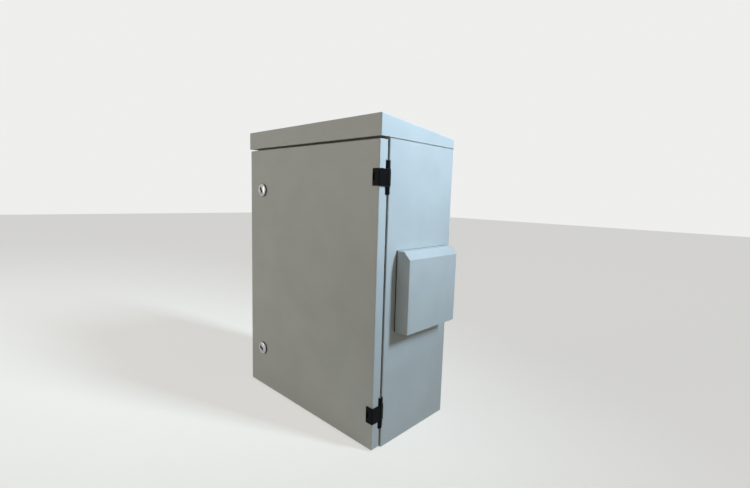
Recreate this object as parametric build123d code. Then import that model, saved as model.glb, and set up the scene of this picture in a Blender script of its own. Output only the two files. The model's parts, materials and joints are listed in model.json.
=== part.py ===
from build123d import *
import os
from math import hypot, radians, tan

# Outdoor electrical distribution box: a folded sheet-steel body with a hinged door, a sloping
# rain roof, a fan and a filter behind two side hoods, and switchgear on a mounting plate.
# Millimetres. X is to the right seen from the front, Y goes from the door to the wall, Z is up.
# The origin is at the base, midway between the sides and midway between lock heads and back.

# Body
sheet = 1.5
fold_radius = 2.0
body_width = 418.0
body_depth = 194.7
body_height = 570.0

# Door
door_width = 415.0
door_depth = 19.3
door_gap = 4.0
door_sill = 2.0
door_head_gap = 2.0
stiffener_width = 40.0
stiffener_height = 12.0
stiffener_flange = 10.0
stiffener_length = 440.0
earth_stud_radius = 3.0
earth_stud_length = 18.0
earth_stud_inset = 40.0

# Flange and lip that the door closes on
lip_inset = 13.5
lip_length = 11.3
lip_corner_radius = 4.0
seal_width = 12.0
seal_clearance = 0.3

# Rain roof
roof_overlap = 8.0
roof_front_height = 38.0
roof_back_height = 18.0
roof_side_clearance = 0.25
roof_front_proud = 1.3
roof_back_inset = 0.5
roof_front_hem = 12.0
roof_bracket_sheet = 2.0
roof_bracket_spacing = 300.0
roof_bracket_length = 150.0
roof_bracket_flange = 22.0
roof_bolt_spacing = 110.0
roof_bolt_radius = 3.0

# Hinges
hinge_end_distance = 66.0
hinge_axis_inset = 3.0
hinge_axis_setback = 1.2
hinge_barrel_radius = 5.0
hinge_length = 58.0
hinge_block_height = 29.6
hinge_arm = 2.6
hinge_front_reach = 14.3
hinge_pin_radius = 2.5
hinge_swing_clearance = 2.0
hinge_leaf_thickness = 4.2
hinge_screw_radius = 1.6
hinge_block_screw_depth = 8.5
knuckle_clearance = 0.3
running_clearance = 0.05

# Quarter-turn locks
lock_side_distance = 52.5
lock_end_distance = 92.0
lock_proud = 6.0
lock_head_radius = 14.5
lock_rim_radius = 8.7
lock_shank_radius = 11.0
lock_flat = 10.0
lock_shank_length = 18.0
lock_core_radius = 7.5
lock_nut_across = 27.0
lock_nut_height = 5.0
lock_key_depth = 7.0
lock_key_radius = 2.2
lock_key_bits = 9.0
lock_well_radius = 5.7
lock_collar_radius = 9.0
lock_square = 8.0
cam_thickness = 3.0
cam_width = 18.0
cam_reach = 43.0
cam_play = 0.6
cam_bolt_radius = 2.5
lock_key_angles = {"upper": 40.0, "lower": 90.0}

# Side hoods, one on each side
hood_size = 150.0
hood_out = 29.3
hood_slope = 14.0
hood_sheet = 1.2
hood_flange = 12.0
hood_radius = 1.6
hood_gasket = 2.0
hood_centre_depth = 125.0
hood_left_height = 432.0
hood_right_height = 290.5
hood_stud_radius = 2.0
hood_stud_length = 10.0
hood_hem = 6.0

# Fan behind the left hood
fan_size = 119.0
fan_depth = 25.0
fan_bore = 114.0
fan_hole_spacing = 105.0
fan_screw_radius = 2.0
fan_hub_radius = 20.0
fan_blade_count = 5
fan_tip_clearance = 1.6
fan_shaft_radius = 3.0
fan_motor_radius = 16.0
fan_motor_depth = 15.5
fan_strut_width = 7.0
fan_strut_height = 4.0
guard_wire = 0.9
guard_ring_count = 4
guard_ring_sides = 24
blade_thickness = 1.6
blade_root_chord = 19.0
blade_root_pitch = 42.0
blade_tip_chord = 42.0
blade_tip_pitch = 25.0

# Filter behind the right hood
filter_mat_size = 109.0
filter_mat_depth = 7.0
filter_border = 8.5
filter_size = filter_mat_size + 2 * filter_border
filter_depth = 14.0
filter_rim = 10.0
filter_wall = 2.5
filter_slat_count = 6
slot_length = 108.0
slot_width = 6.0
slot_pitch = 12.0
slot_count = 9

# Mounting plate and its studs
plate_width = 340.0
plate_height = 470.0
plate_bottom = 45.0
plate_sheet = 2.0
plate_flange = 10.0
plate_standoff = 22.0
plate_stud_inset = 18.0
plate_stud_radius = 4.0

# Rails and switchgear
rail_width = 35.0
rail_depth = 7.5
rail_sheet = 1.0
rail_waist = 25.0
rail_slot_pitch = 36.0
rail_slot_length = 25.0
rail_slot_width = 6.2
rail_screw_radius = 2.5
grip_lap = 2.5
breaker_rail_length = 300.0
breaker_rail_height = 265.0
terminal_rail_length = 180.0
terminal_rail_height = 130.0
terminal_rail_centre = -60.0
breaker_width = 36.0
breaker_height = 85.0
breaker_depth = 68.0
breaker_nose = 45.0
breaker_shoulder = 44.0
breaker_well_spacing = 64.6
breaker_spacing = 36.4
breaker_count = 4
breaker_row_centre = -30.0
device_bed = 5.0
terminal_width = 8.0
terminal_height = 46.0
terminal_depth = 42.0
terminal_count = 8
main_width = 75.0
main_height = 130.0
main_depth = 62.0
main_step = 14.0
main_centre = -60.0
main_drop = 85.0
toggle_pivot_radius = 2.5
toggle_throw = 50.0
toggle_drum_sides = 20
toggle_lever_reach = 3.1
toggle_lever_thickness = 0.64
toggle_slot_reach = 1.7
toggle_pivot_setback = 1.3
branch_toggle_width = 23.0
branch_toggle_radius = 5.5
main_toggle_width = 15.0
main_toggle_radius = 8.0
main_screw_radius = 2.0
terminal_well_radius = 3.2
terminal_well_depth = 8.0

# Neutral and earth bars
bar_length = 110.0
bar_width = 10.0
bar_thickness = 8.0
bar_hole_count = 7
bar_hole_radius = 2.5
bar_clamp_radius = 2.2
bar_end_inset = 8.0
bar_centre = 105.0
neutral_bar_height = 150.0
earth_bar_height = 105.0
neutral_foot_height = 20.0
earth_foot_height = 8.0

# Gland plate and grommets in the base
gland_width = 270.0
gland_depth = 120.0
gland_sheet = 2.0
gland_lap = 16.0
gland_centre_depth = 125.0
gland_screw_radius = 2.5
entry_radius = 10.0
entry_spacing = 75.0
entry_count = 3
grommet_wall = 2.5
grommet_lip = 2.0
grommet_lip_height = 1.2
grommet_sides = 24

# Wall fixing
wall_hole_radius = 4.5
wall_hole_spacing_x = 300.0
wall_hole_spacing_z = 500.0
wall_hole_centre_height = 280.0

# Screw heads and clearances
screw_head_ratio = 1.9
screw_head_height_ratio = 1.2
hexagon_ratio = 3.2
nut_height_ratio = 1.6
fastener_sides = 8
fit_clearance = 0.1
screw_clearance = 0.1
weld_gap = 0.1

# Planes and edges that several pieces share
total_depth = lock_proud + door_depth + door_gap + body_depth
door_face_y = lock_proud - total_depth / 2
door_inner_y = door_face_y + sheet
body_front_y = door_face_y + door_depth + door_gap
body_back_y = body_front_y + body_depth
flange_inner_y = body_front_y + sheet
back_inner_y = body_back_y - sheet
lip_tip_y = body_front_y - lip_length
side_x = body_width / 2
side_inner_x = side_x - sheet
door_side_x = door_width / 2
roof_skirt_z = body_height - roof_overlap
door_top_z = roof_skirt_z - door_head_gap
door_height = door_top_z - door_sill
door_middle_z = door_sill + door_height / 2
lip_width = door_width - 2 * lip_inset
lip_height = door_height - 2 * lip_inset
lock_x = lock_side_distance - door_side_x
lock_heights = {"upper": door_top_z - lock_end_distance, "lower": door_sill + lock_end_distance}
hinge_heights = {"upper": door_top_z - hinge_end_distance, "lower": door_sill + hinge_end_distance}
hinge_axis_x = side_x - hinge_axis_inset
hinge_axis_y = door_face_y + door_depth + hinge_axis_setback
cam_front_y = flange_inner_y + cam_play
hinge_screw_x = lip_width / 2 + knuckle_clearance + screw_head_ratio * hinge_screw_radius
hood_y = door_face_y + hood_centre_depth
fan_wall_x = -side_inner_x
filter_wall_x = side_inner_x
plate_back_y = back_inner_y - plate_standoff
plate_front_y = plate_back_y - plate_sheet
plate_middle_z = plate_bottom + plate_height / 2
main_centre_height = plate_bottom + plate_height - main_drop
rail_lip_y = plate_front_y - rail_depth
gland_y = door_face_y + gland_centre_depth
earth_stud_x = door_side_x - earth_stud_inset
earth_stud_y = flange_inner_y + earth_stud_inset
fan_plane = Plane(origin=(fan_wall_x, hood_y, hood_left_height), x_dir=(0, 1, 0), z_dir=(1, 0, 0))
filter_plane = Plane(origin=(filter_wall_x, hood_y, hood_right_height), x_dir=(0, 1, 0), z_dir=(1, 0, 0))


def span(x_limits, y_limits, z_limits):
    """Block between three pairs of limits."""
    sizes = [limits[1] - limits[0] for limits in (x_limits, y_limits, z_limits)]
    middle = [sum(limits) / 2 for limits in (x_limits, y_limits, z_limits)]
    return Pos(*middle) * Box(*sizes)


def rod(start, direction, radius, length):
    """Round bar from a start point along a direction."""
    upright = (Align.CENTER, Align.CENTER, Align.MIN)
    return Plane(origin=start, z_dir=direction) * Cylinder(radius, length, align=upright)


def small_rod(start, direction, radius, length):
    """Many-sided bar, for small fasteners and the holes that they pass."""
    return Plane(origin=start, z_dir=direction) * extrude(RegularPolygon(radius, fastener_sides), length)


def hexagon(start, direction, across_flats, height):
    """Hexagonal bar from a start point along a direction."""
    outline = RegularPolygon(across_flats / 2, 6, major_radius=False)
    return Plane(origin=start, z_dir=direction) * extrude(outline, height)


def hex_bolt(seat, direction, radius, across_flats, head, length):
    """Hexagon bolt: its head stands on the seat against the direction of its shank."""
    back = [-part for part in direction]
    return hexagon(seat, back, across_flats, head) + small_rod(seat, direction, radius, length)


def hex_nut(seat, direction, stud_radius):
    """Hexagon nut on a seat, round a stud that points along the direction."""
    height = nut_height_ratio * stud_radius
    nut = hexagon(seat, direction, hexagon_ratio * stud_radius, height)
    return nut - small_rod(seat, direction, stud_radius + screw_clearance, height)


def pan_screw(seat, direction, radius, length):
    """Pan-head screw: its head stands on the seat against the direction of its shank."""
    back = [-part for part in direction]
    head = small_rod(seat, back, screw_head_ratio * radius, screw_head_height_ratio * radius)
    return head + small_rod(seat, direction, radius, length)


def upright(x, y, z, facing=1):
    """Plane across the depth of the box, with X to the right. It faces the wall, or the door for -1."""
    return Plane(origin=(x, y, z), x_dir=(1, 0, 0), z_dir=(0, facing, 0))


def corners(x_spacing, y_spacing):
    """The four corners of a rectangle about its centre."""
    return [(sx * x_spacing / 2, sy * y_spacing / 2) for sx in (-1, 1) for sy in (-1, 1)]


def extruded_x(outline, x_start, x_end):
    """Outline drawn with Y across and Z up, extruded along X."""
    return Pos(x_start, 0, 0) * extrude(Plane.YZ * outline, x_end - x_start)


# Body: one folded and welded shell
def lip_frame():
    """Lip that stands forward of the front flange, all the way round the opening."""
    outer = RectangleRounded(lip_width, lip_height, lip_corner_radius)
    inner = RectangleRounded(lip_width - 2 * sheet, lip_height - 2 * sheet, lip_corner_radius - sheet)
    plane = upright(0, lip_tip_y, door_middle_z)
    depth = flange_inner_y - lip_tip_y
    return plane * extrude(outer, depth), plane * extrude(inner, depth)


def hinge_notch(height):
    """Space that a hinge barrel and the swing of its block take out of the body's front corner."""
    barrel_back = hinge_axis_y + hinge_barrel_radius
    x_limits = (hinge_axis_x - hinge_barrel_radius - knuckle_clearance, side_x + 1)
    half = hinge_length / 2 + knuckle_clearance
    block_half = hinge_block_height / 2 + knuckle_clearance
    full = span(x_limits, (body_front_y - 1, barrel_back + knuckle_clearance), (height - half, height + half))
    swing = span(
        x_limits,
        (body_front_y - 1, barrel_back + hinge_swing_clearance),
        (height - block_half, height + block_half),
    )
    return full + swing


def hood_stud_places(height):
    """Where the four studs of a hood pass the wall, as Y and Z."""
    reach = hood_size - hood_flange
    return [(hood_y + y, height + z) for y, z in corners(reach, reach)]


def fan_hole_places():
    return [(hood_y + y, hood_left_height + z) for y, z in corners(fan_hole_spacing, fan_hole_spacing)]


def filter_hole_places():
    reach = filter_size - filter_rim + 1
    return [(hood_y + y, hood_right_height + z) for y, z in corners(reach, reach)]


def plate_stud_places():
    """Where the studs of the mounting plate stand, as X and Z."""
    x_spacing = plate_width - 2 * plate_stud_inset
    z_spacing = plate_height - 2 * plate_stud_inset
    return [(x, plate_middle_z + z) for x, z in corners(x_spacing, z_spacing)]


def gland_screw_places():
    x_spacing = gland_width - gland_lap
    y_spacing = gland_depth - gland_lap
    return [(x, gland_y + y) for x, y in corners(x_spacing, y_spacing)]


def roof_bolt_places():
    middle = (body_front_y + body_back_y) / 2
    return [(x, middle + y) for x, y in corners(roof_bracket_spacing, roof_bolt_spacing)]


def housing_shell():
    block = span((-side_x, side_x), (body_front_y, body_back_y), (0, body_height))
    outer = fillet(block.edges().filter_by(Axis.Z), fold_radius)
    hollow = span(
        (-side_inner_x, side_inner_x), (flange_inner_y, back_inner_y), (sheet, body_height - sheet)
    )
    lip_outer, lip_inner = lip_frame()
    shell = outer - hollow + lip_outer - lip_inner
    for height in hinge_heights.values():
        shell -= hinge_notch(height)
        for z in hinge_leaf_screw_heights(height):
            start = (hinge_screw_x, body_front_y - 1, z)
            shell -= small_rod(start, (0, 1, 0), hinge_screw_radius + screw_clearance, sheet + 2)
    for x, z in corners(wall_hole_spacing_x, wall_hole_spacing_z):
        start = (x, back_inner_y - 1, wall_hole_centre_height + z)
        shell -= rod(start, (0, 1, 0), wall_hole_radius, sheet + 2)
    for x, y in roof_bolt_places():
        start = (x, y, body_height - sheet - 1)
        shell -= small_rod(start, (0, 0, 1), roof_bolt_radius + screw_clearance, sheet + 2)
    for x, y in gland_screw_places():
        shell -= small_rod((x, y, -1), (0, 0, 1), gland_screw_radius + screw_clearance, sheet + 2)
    opening = RectangleRounded(gland_width - 2 * gland_lap, gland_depth - 2 * gland_lap, lip_corner_radius)
    shell -= Pos(0, gland_y, -1) * extrude(opening, sheet + 2)
    for side, height in ((-1, hood_left_height), (1, hood_right_height)):
        for y, z in hood_stud_places(height):
            start = (side * (side_inner_x - 1), y, z)
            shell -= small_rod(start, (side, 0, 0), hood_stud_radius + screw_clearance, sheet + 2)
    shell -= rod((fan_wall_x + 1, hood_y, hood_left_height), (-1, 0, 0), fan_bore / 2, sheet + 2)
    hole_radius = fan_screw_radius + screw_clearance
    for y, z in fan_hole_places():
        shell -= small_rod((fan_wall_x + 1, y, z), (-1, 0, 0), hole_radius, sheet + 2)
    for y, z in filter_hole_places():
        shell -= small_rod((filter_wall_x - 1, y, z), (1, 0, 0), hole_radius, sheet + 2)
    slots = Sketch() + GridLocations(0, slot_pitch, 1, slot_count) * Rectangle(slot_length, slot_width)
    shell -= filter_plane.offset(-1) * extrude(slots, sheet + 2)
    for x, z in plate_stud_places():
        shell += hexagon((x, back_inner_y, z), (0, -1, 0), hexagon_ratio * plate_stud_radius, plate_standoff)
        stud_length = plate_standoff + plate_sheet + 3 * plate_stud_radius
        shell += small_rod((x, back_inner_y, z), (0, -1, 0), plate_stud_radius, stud_length)
    return shell + rod((-earth_stud_x, earth_stud_y, sheet), (0, 0, 1), earth_stud_radius, earth_stud_length)


# Rain roof
def roof_edges():
    """Front and back of the roof, as pairs of Y and top Z."""
    front = (door_face_y - roof_front_proud, roof_skirt_z + roof_front_height)
    back = (body_back_y - roof_back_inset, roof_skirt_z + roof_back_height)
    return front, back


def roof_underside(y):
    """Height of the underside of the roof sheet at a depth."""
    (front_y, front_z), (back_y, back_z) = roof_edges()
    slope = (back_z - front_z) / (back_y - front_y)
    return front_z + slope * (y - front_y) - sheet * hypot(1, slope)


def roof_cap():
    """Sloping cap with a skirt on four sides. Its skirt laps over the top of the body."""
    (front_y, front_z), (back_y, back_z) = roof_edges()
    inner_x = side_x + roof_side_clearance
    outer_x = inner_x + sheet
    points = [(front_y, roof_skirt_z), (back_y, roof_skirt_z), (back_y, back_z), (front_y, front_z)]
    wedge = extruded_x(make_face(Polyline(points, close=True)), -outer_x, outer_x)
    underside = wedge.faces().sort_by(Axis.Z)[0]
    folds = [edge for edge in wedge.edges() if edge not in underside.edges()]
    limits = [(y, roof_underside(y)) for y in (back_y - sheet, front_y + sheet)]
    room = [(limits[1][0], roof_skirt_z - 1), (limits[0][0], roof_skirt_z - 1)] + limits
    cap = fillet(folds, fold_radius) - extruded_x(make_face(Polyline(room, close=True)), -inner_x, inner_x)
    across = (-inner_x, inner_x)
    hem = span(across, (front_y + sheet / 2, front_y + roof_front_hem), (roof_skirt_z, roof_skirt_z + sheet))
    relief = span(across, (back_y - 2 * sheet, back_y + 1), (roof_skirt_z - 1, body_height + weld_gap))
    return cap + hem - relief


def roof_bracket(side):
    """Channel that closes the wedge between the body top and the roof, with two weld nuts."""
    middle_y = (body_front_y + body_back_y) / 2
    ends = (middle_y - roof_bracket_length / 2, middle_y + roof_bracket_length / 2)
    tops = [roof_underside(y) - weld_gap for y in ends]
    inner_x = side * roof_bracket_spacing / 2 - roof_bracket_flange / 2
    outer = [(ends[0], body_height), (ends[1], body_height), (ends[1], tops[1]), (ends[0], tops[0])]
    floor = body_height + roof_bracket_sheet
    inner = [(ends[0], floor), (ends[1], floor)]
    inner += [(ends[1], tops[1] - roof_bracket_sheet), (ends[0], tops[0] - roof_bracket_sheet)]
    channel = extruded_x(make_face(Polyline(outer, close=True)), inner_x, inner_x + roof_bracket_flange)
    web_x = inner_x + roof_bracket_sheet
    channel -= extruded_x(make_face(Polyline(inner, close=True)), web_x, inner_x + roof_bracket_flange)
    for x, y in roof_bolt_places():
        if x * side > 0:
            nut_height = nut_height_ratio * roof_bolt_radius
            channel += hexagon((x, y, floor), (0, 0, 1), hexagon_ratio * roof_bolt_radius, nut_height)
            hole = (roof_bolt_radius + screw_clearance, roof_bracket_sheet + nut_height + 2)
            channel -= small_rod((x, y, body_height - 1), (0, 0, 1), *hole)
    return channel


def roof_bolts():
    """Four bolts from inside the body into the weld nuts of the brackets."""
    seat_z = body_height - sheet
    length = sheet + roof_bracket_sheet + nut_height_ratio * roof_bolt_radius
    across_flats = hexagon_ratio * roof_bolt_radius
    return [
        hex_bolt((x, y, seat_z), (0, 0, 1), roof_bolt_radius, across_flats, 0.4 * across_flats, length)
        for x, y in roof_bolt_places()
    ]


# Door
def door_panel():
    """Folded pan with holes for the locks and notches for the hinge barrels."""
    block = span(
        (-door_side_x, door_side_x), (door_face_y, door_face_y + door_depth), (door_sill, door_top_z)
    )
    front_edges = block.faces().sort_by(Axis.Y)[0].edges()
    block = fillet(front_edges + block.edges().filter_by(Axis.Y), fold_radius)
    pan = block - span(
        (sheet - door_side_x, door_side_x - sheet),
        (door_inner_y, door_face_y + door_depth + 1),
        (door_sill + sheet, door_top_z - sheet),
    )
    for height in lock_heights.values():
        hole = Circle(lock_shank_radius + fit_clearance)
        hole &= Rectangle(2 * (lock_flat + fit_clearance), 3 * lock_shank_radius)
        plane = upright(lock_x, door_face_y - 1, height)
        pan -= plane * extrude(hole, sheet + 2)
    for height in hinge_heights.values():
        half = hinge_length / 2 + knuckle_clearance
        pan -= span(
            (door_side_x - 2 * sheet, door_side_x + 1),
            (hinge_axis_y - hinge_barrel_radius - knuckle_clearance, door_face_y + door_depth + 1),
            (height - half, height + half),
        )
        for z in hinge_block_screw_heights(height):
            start = (door_side_x - sheet - 1, door_face_y + hinge_block_screw_depth, z)
            pan -= small_rod(start, (1, 0, 0), hinge_screw_radius + screw_clearance, sheet + 2)
    stud_place = (earth_stud_x, door_inner_y, door_sill + earth_stud_inset)
    return pan + rod(stud_place, (0, 1, 0), earth_stud_radius, earth_stud_length)


def door_gasket():
    """Foam seal on the door that the lip of the body meets."""
    width = lip_width - sheet
    height = lip_height - sheet
    outer = RectangleRounded(width + seal_width, height + seal_width, lip_corner_radius + seal_width / 2)
    inner = RectangleRounded(width - seal_width, height - seal_width, lip_corner_radius)
    plane = upright(0, door_inner_y, door_middle_z)
    return plane * extrude(outer - inner, lip_tip_y - seal_clearance - door_inner_y)


def door_stiffener():
    """Hat channel welded upright to the inside of the door."""
    half_crown = stiffener_width / 2
    half_foot = half_crown + stiffener_flange
    points = [(-half_foot, 0), (-half_foot, sheet), (-half_crown, sheet), (-half_crown, stiffener_height)]
    points += [(-x, y) for x, y in reversed(points)]
    inner = [(half_crown - sheet, 0), (half_crown - sheet, stiffener_height - sheet)]
    points += inner + [(-x, y) for x, y in reversed(inner)]
    channel = extrude(make_face(Polyline(points, close=True)), stiffener_length)
    return Pos(0, door_inner_y, door_middle_z - stiffener_length / 2) * channel


# Hinges
def hinge_block_screw_heights(height):
    return [height - hinge_block_height / 4, height + hinge_block_height / 4]


def hinge_leaf_screw_heights(height):
    """Middle of each outer knuckle."""
    offset_z = (hinge_length + hinge_block_height) / 4
    return [height - offset_z, height + offset_z]


def hinge_block(height):
    """Corner block on the door, with the middle knuckle."""
    outer_x = door_side_x + hinge_arm
    outer_y = door_face_y - hinge_arm
    reach_x = door_side_x - hinge_front_reach
    points = [(reach_x, outer_y), (outer_x, outer_y), (outer_x, hinge_axis_y)]
    points += [(door_side_x, hinge_axis_y), (door_side_x, door_face_y), (reach_x, door_face_y)]
    plan = make_face(Polyline(points, close=True))
    corner = plan.vertices().sort_by(lambda v: v.X - v.Y)[-1]
    free_end = plan.vertices().sort_by(lambda v: v.X + v.Y)[0]
    plan = fillet(corner, 0.6 * hinge_arm)
    plan = fillet(plan.vertices().sort_by(lambda v: v.distance_to(free_end))[0], 0.4 * hinge_arm)
    plan += Pos(hinge_axis_x, hinge_axis_y) * Circle(hinge_barrel_radius)
    plan -= Pos(hinge_axis_x, hinge_axis_y) * Circle(hinge_pin_radius + running_clearance)
    block = Pos(0, 0, height - hinge_block_height / 2) * extrude(plan, hinge_block_height)
    for z in hinge_block_screw_heights(height):
        start = (door_side_x, door_face_y + hinge_block_screw_depth, z)
        block -= small_rod(start, (1, 0, 0), hinge_screw_radius + screw_clearance, 0.8 * hinge_arm)
    return block


def hinge_leaf(height):
    """Leaf behind the front flange of the body, with the two outer knuckles."""
    x_limits = (lip_width / 2 + knuckle_clearance, side_inner_x - knuckle_clearance)
    y_limits = (flange_inner_y, flange_inner_y + hinge_leaf_thickness)
    leaf = span(x_limits, y_limits, (height - hinge_length / 2, height + hinge_length / 2))
    knuckle = (hinge_length - hinge_block_height) / 2 - knuckle_clearance
    for bottom in (height - hinge_length / 2, height + hinge_length / 2 - knuckle):
        barrel = rod((hinge_axis_x, hinge_axis_y, bottom), (0, 0, 1), hinge_barrel_radius, knuckle)
        web_x = (hinge_axis_x - hinge_barrel_radius, x_limits[1])
        leaf += barrel + span(web_x, (hinge_axis_y, y_limits[1]), (bottom, bottom + knuckle))
    start = (hinge_axis_x, hinge_axis_y, height - hinge_length / 2 - 1)
    leaf -= rod(start, (0, 0, 1), hinge_pin_radius + running_clearance, hinge_length + 2)
    groove = (hinge_axis_x, hinge_axis_y, height - hinge_block_height / 2 - knuckle_clearance)
    groove_radius = hinge_barrel_radius + 3 * knuckle_clearance
    leaf -= rod(groove, (0, 0, 1), groove_radius, hinge_block_height + 2 * knuckle_clearance)
    for z in hinge_leaf_screw_heights(height):
        start = (hinge_screw_x, flange_inner_y - 1, z)
        leaf -= small_rod(start, (0, 1, 0), hinge_screw_radius + screw_clearance, hinge_leaf_thickness + 2)
    return leaf


def hinge_leaf_screws():
    """Screws through the front flange into the leaves."""
    screws = []
    for height in hinge_heights.values():
        for z in hinge_leaf_screw_heights(height):
            seat = (hinge_screw_x, body_front_y, z)
            screws.append(pan_screw(seat, (0, 1, 0), hinge_screw_radius, sheet + 0.9 * hinge_leaf_thickness))
    return screws


def hinge_block_screws():
    """Screws from inside the door's return into the blocks."""
    screws = []
    for height in hinge_heights.values():
        for z in hinge_block_screw_heights(height):
            seat = (door_side_x - sheet, door_face_y + hinge_block_screw_depth, z)
            screws.append(pan_screw(seat, (1, 0, 0), hinge_screw_radius, sheet + 0.7 * hinge_arm))
    return screws


def hinge_pins():
    pins = []
    for height in hinge_heights.values():
        start = (hinge_axis_x, hinge_axis_y, height - hinge_length / 2)
        pins.append(rod(start, (0, 0, 1), hinge_pin_radius, hinge_length))
    return pins


# Locks. Their turned parts are drawn with radius across and depth behind the door face up.
def turned(outline, height):
    """Solid turned about the axis of a lock from half of its section."""
    return Pos(lock_x, door_face_y, height) * revolve(make_face(outline), Axis.Y)


def lock_housing(height):
    """Domed head and double-D shank, bored for the core."""
    bore = lock_core_radius + running_clearance
    dome = [(lock_head_radius, 0), (0.97 * lock_head_radius, -0.35 * lock_proud)]
    dome += [(0.85 * lock_head_radius, -0.75 * lock_proud), (lock_rim_radius, -lock_proud)]
    shank = [(bore, lock_rim_radius - bore - lock_proud), (bore, lock_shank_length)]
    shank += [(lock_shank_radius, lock_shank_length), (lock_shank_radius, 0)]
    housing = turned(Polyline(dome + shank, close=True), height)
    for side in (-1, 1):
        outer = lock_shank_radius + 1
        housing -= span(
            sorted((lock_x + side * lock_flat, lock_x + side * outer)),
            (door_face_y, door_face_y + lock_shank_length + 1),
            (height - outer, height + outer),
        )
    return housing


def lock_nuts():
    nuts = []
    for height in lock_heights.values():
        nut = hexagon((lock_x, door_inner_y, height), (0, 1, 0), lock_nut_across, lock_nut_height)
        hole = lock_shank_radius + fit_clearance
        nuts.append(nut - rod((lock_x, door_inner_y - 1, height), (0, 1, 0), hole, lock_nut_height + 2))
    return nuts


def lock_core(height, key_angle):
    """Core with a double-bit key pin in front, a collar and a square for the cam behind."""
    front_y = door_face_y - lock_proud + 2 * (lock_rim_radius - lock_core_radius)
    collar_y = door_face_y + lock_shank_length + knuckle_clearance
    core = rod((lock_x, front_y, height), (0, 1, 0), lock_core_radius, collar_y - front_y)
    core += small_rod((lock_x, collar_y, height), (0, 1, 0), lock_collar_radius, cam_front_y - collar_y)
    core -= small_rod((lock_x, front_y, height), (0, 1, 0), lock_well_radius, lock_key_depth)
    key = Rot(0, 0, key_angle) * Rectangle(lock_key_bits, lock_key_radius)
    key += RegularPolygon(lock_key_radius, fastener_sides)
    plane = upright(lock_x, front_y + 1, height)
    core += plane * extrude(key, lock_key_depth)
    plane = upright(lock_x, cam_front_y, height)
    core += plane * extrude(Rectangle(lock_square, lock_square), cam_thickness)
    start = (lock_x, cam_front_y, height)
    return core - small_rod(start, (0, 1, 0), cam_bolt_radius + screw_clearance, cam_thickness + 1)


def lock_cam(height):
    """Cam that hangs down when unlocked and turns behind the flange when locked."""
    blade = Rectangle(cam_width, cam_reach, align=(Align.CENTER, Align.MIN))
    tip = blade.vertices().sort_by(Axis.Y)[-2:]
    outline = fillet(tip, 0.35 * cam_width) + Circle(cam_width / 2)
    outline -= Rectangle(lock_square + 2 * fit_clearance, lock_square + 2 * fit_clearance)
    plane = upright(lock_x, cam_front_y, height)
    return plane * extrude(outline, cam_thickness)


def lock_cam_bolt(height):
    seat = (lock_x, cam_front_y + cam_thickness, height)
    across_flats = hexagon_ratio * cam_bolt_radius
    bolt = hex_bolt(seat, (0, -1, 0), cam_bolt_radius, across_flats, 0.4 * across_flats, cam_thickness)
    return bolt + small_rod(seat, (0, 1, 0), 0.8 * lock_square, 0.4 * cam_bolt_radius)


# Side hoods, drawn on the right and mirrored for the left
def on_side(side, solid):
    return solid if side > 0 else mirror(solid, about=Plane.YZ)


def hood_prism(inset, wall_x, height):
    """Outer form of the right hood, or its room one sheet inside, which runs out at the wall and below."""
    half = hood_size / 2
    out = hood_out - inset
    slope = hood_slope + inset * tan(radians(22.5)) - inset
    bottom = -half - inset
    top = half - inset
    points = [(-inset, bottom), (out, bottom), (out, top - slope), (out - slope, top), (-inset, top)]
    plane = upright(wall_x, hood_y + top, height, facing=-1)
    return plane * extrude(make_face(Polyline(points, close=True)), hood_size - 2 * inset)


def vent_hood(side, height):
    """Folded hood, open below, with a flange to the wall on three sides and four weld studs."""
    wall_x = side_x + hood_gasket
    half = hood_size / 2
    block = hood_prism(0, wall_x, height)
    open_edges = block.faces().sort_by(Axis.X)[0].edges() + block.faces().sort_by(Axis.Z)[0].edges()
    block = fillet([edge for edge in block.edges() if edge not in open_edges], hood_radius)
    hood = block - hood_prism(hood_sheet, wall_x, height)
    rim_z = (height - half, height + half - hood_sheet)
    inner = half - hood_sheet / 2
    rim = span((wall_x, wall_x + hood_sheet), (hood_y - inner, hood_y + inner), rim_z)
    window_y = (hood_y - half + hood_flange, hood_y + half - hood_flange)
    rim -= span((wall_x - 1, wall_x + 2 * hood_sheet), window_y, (rim_z[0] - 1, height + half - hood_flange))
    front_x = wall_x + hood_out - hood_sheet / 2
    hem_z = (rim_z[0], rim_z[0] + hood_sheet)
    hem = span((front_x - hood_hem, front_x), (hood_y - inner, hood_y + inner), hem_z)
    hood += rim + hem
    for y, z in hood_stud_places(height):
        hood += small_rod((wall_x + hood_sheet / 2, y, z), (-1, 0, 0), hood_stud_radius, hood_stud_length)
    return on_side(side, hood)


def hood_gasket_ring(side, height):
    """Gasket between a hood and the wall, on the same three sides as its flange."""
    half = hood_size / 2
    outer_x = side_x + hood_gasket
    ring = span((side_x, outer_x), (hood_y - half, hood_y + half), (height - half, height + half))
    window_y = (hood_y - half + hood_flange, hood_y + half - hood_flange)
    ring -= span((side_x - 1, outer_x + 1), window_y, (height - half - 1, height + half - hood_flange))
    for y, z in hood_stud_places(height):
        ring -= small_rod((side_x - 1, y, z), (1, 0, 0), hood_stud_radius + screw_clearance, hood_gasket + 2)
    return on_side(side, ring)


def hood_nuts():
    nuts = []
    for side, height in ((-1, hood_left_height), (1, hood_right_height)):
        for y, z in hood_stud_places(height):
            seat = (side * side_inner_x, y, z)
            nuts.append(hex_nut(seat, (-side, 0, 0), hood_stud_radius))
    return nuts


# Fan on the left wall. It is drawn with its axis up from the wall, then laid on the fan plane.
guard_eye_height = 2 * guard_wire


def raised(radius, bottom, top):
    """Disc about the fan axis between two heights above the wall."""
    return Pos(0, 0, bottom) * Cylinder(radius, top - bottom, align=(Align.CENTER, Align.CENTER, Align.MIN))


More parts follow.
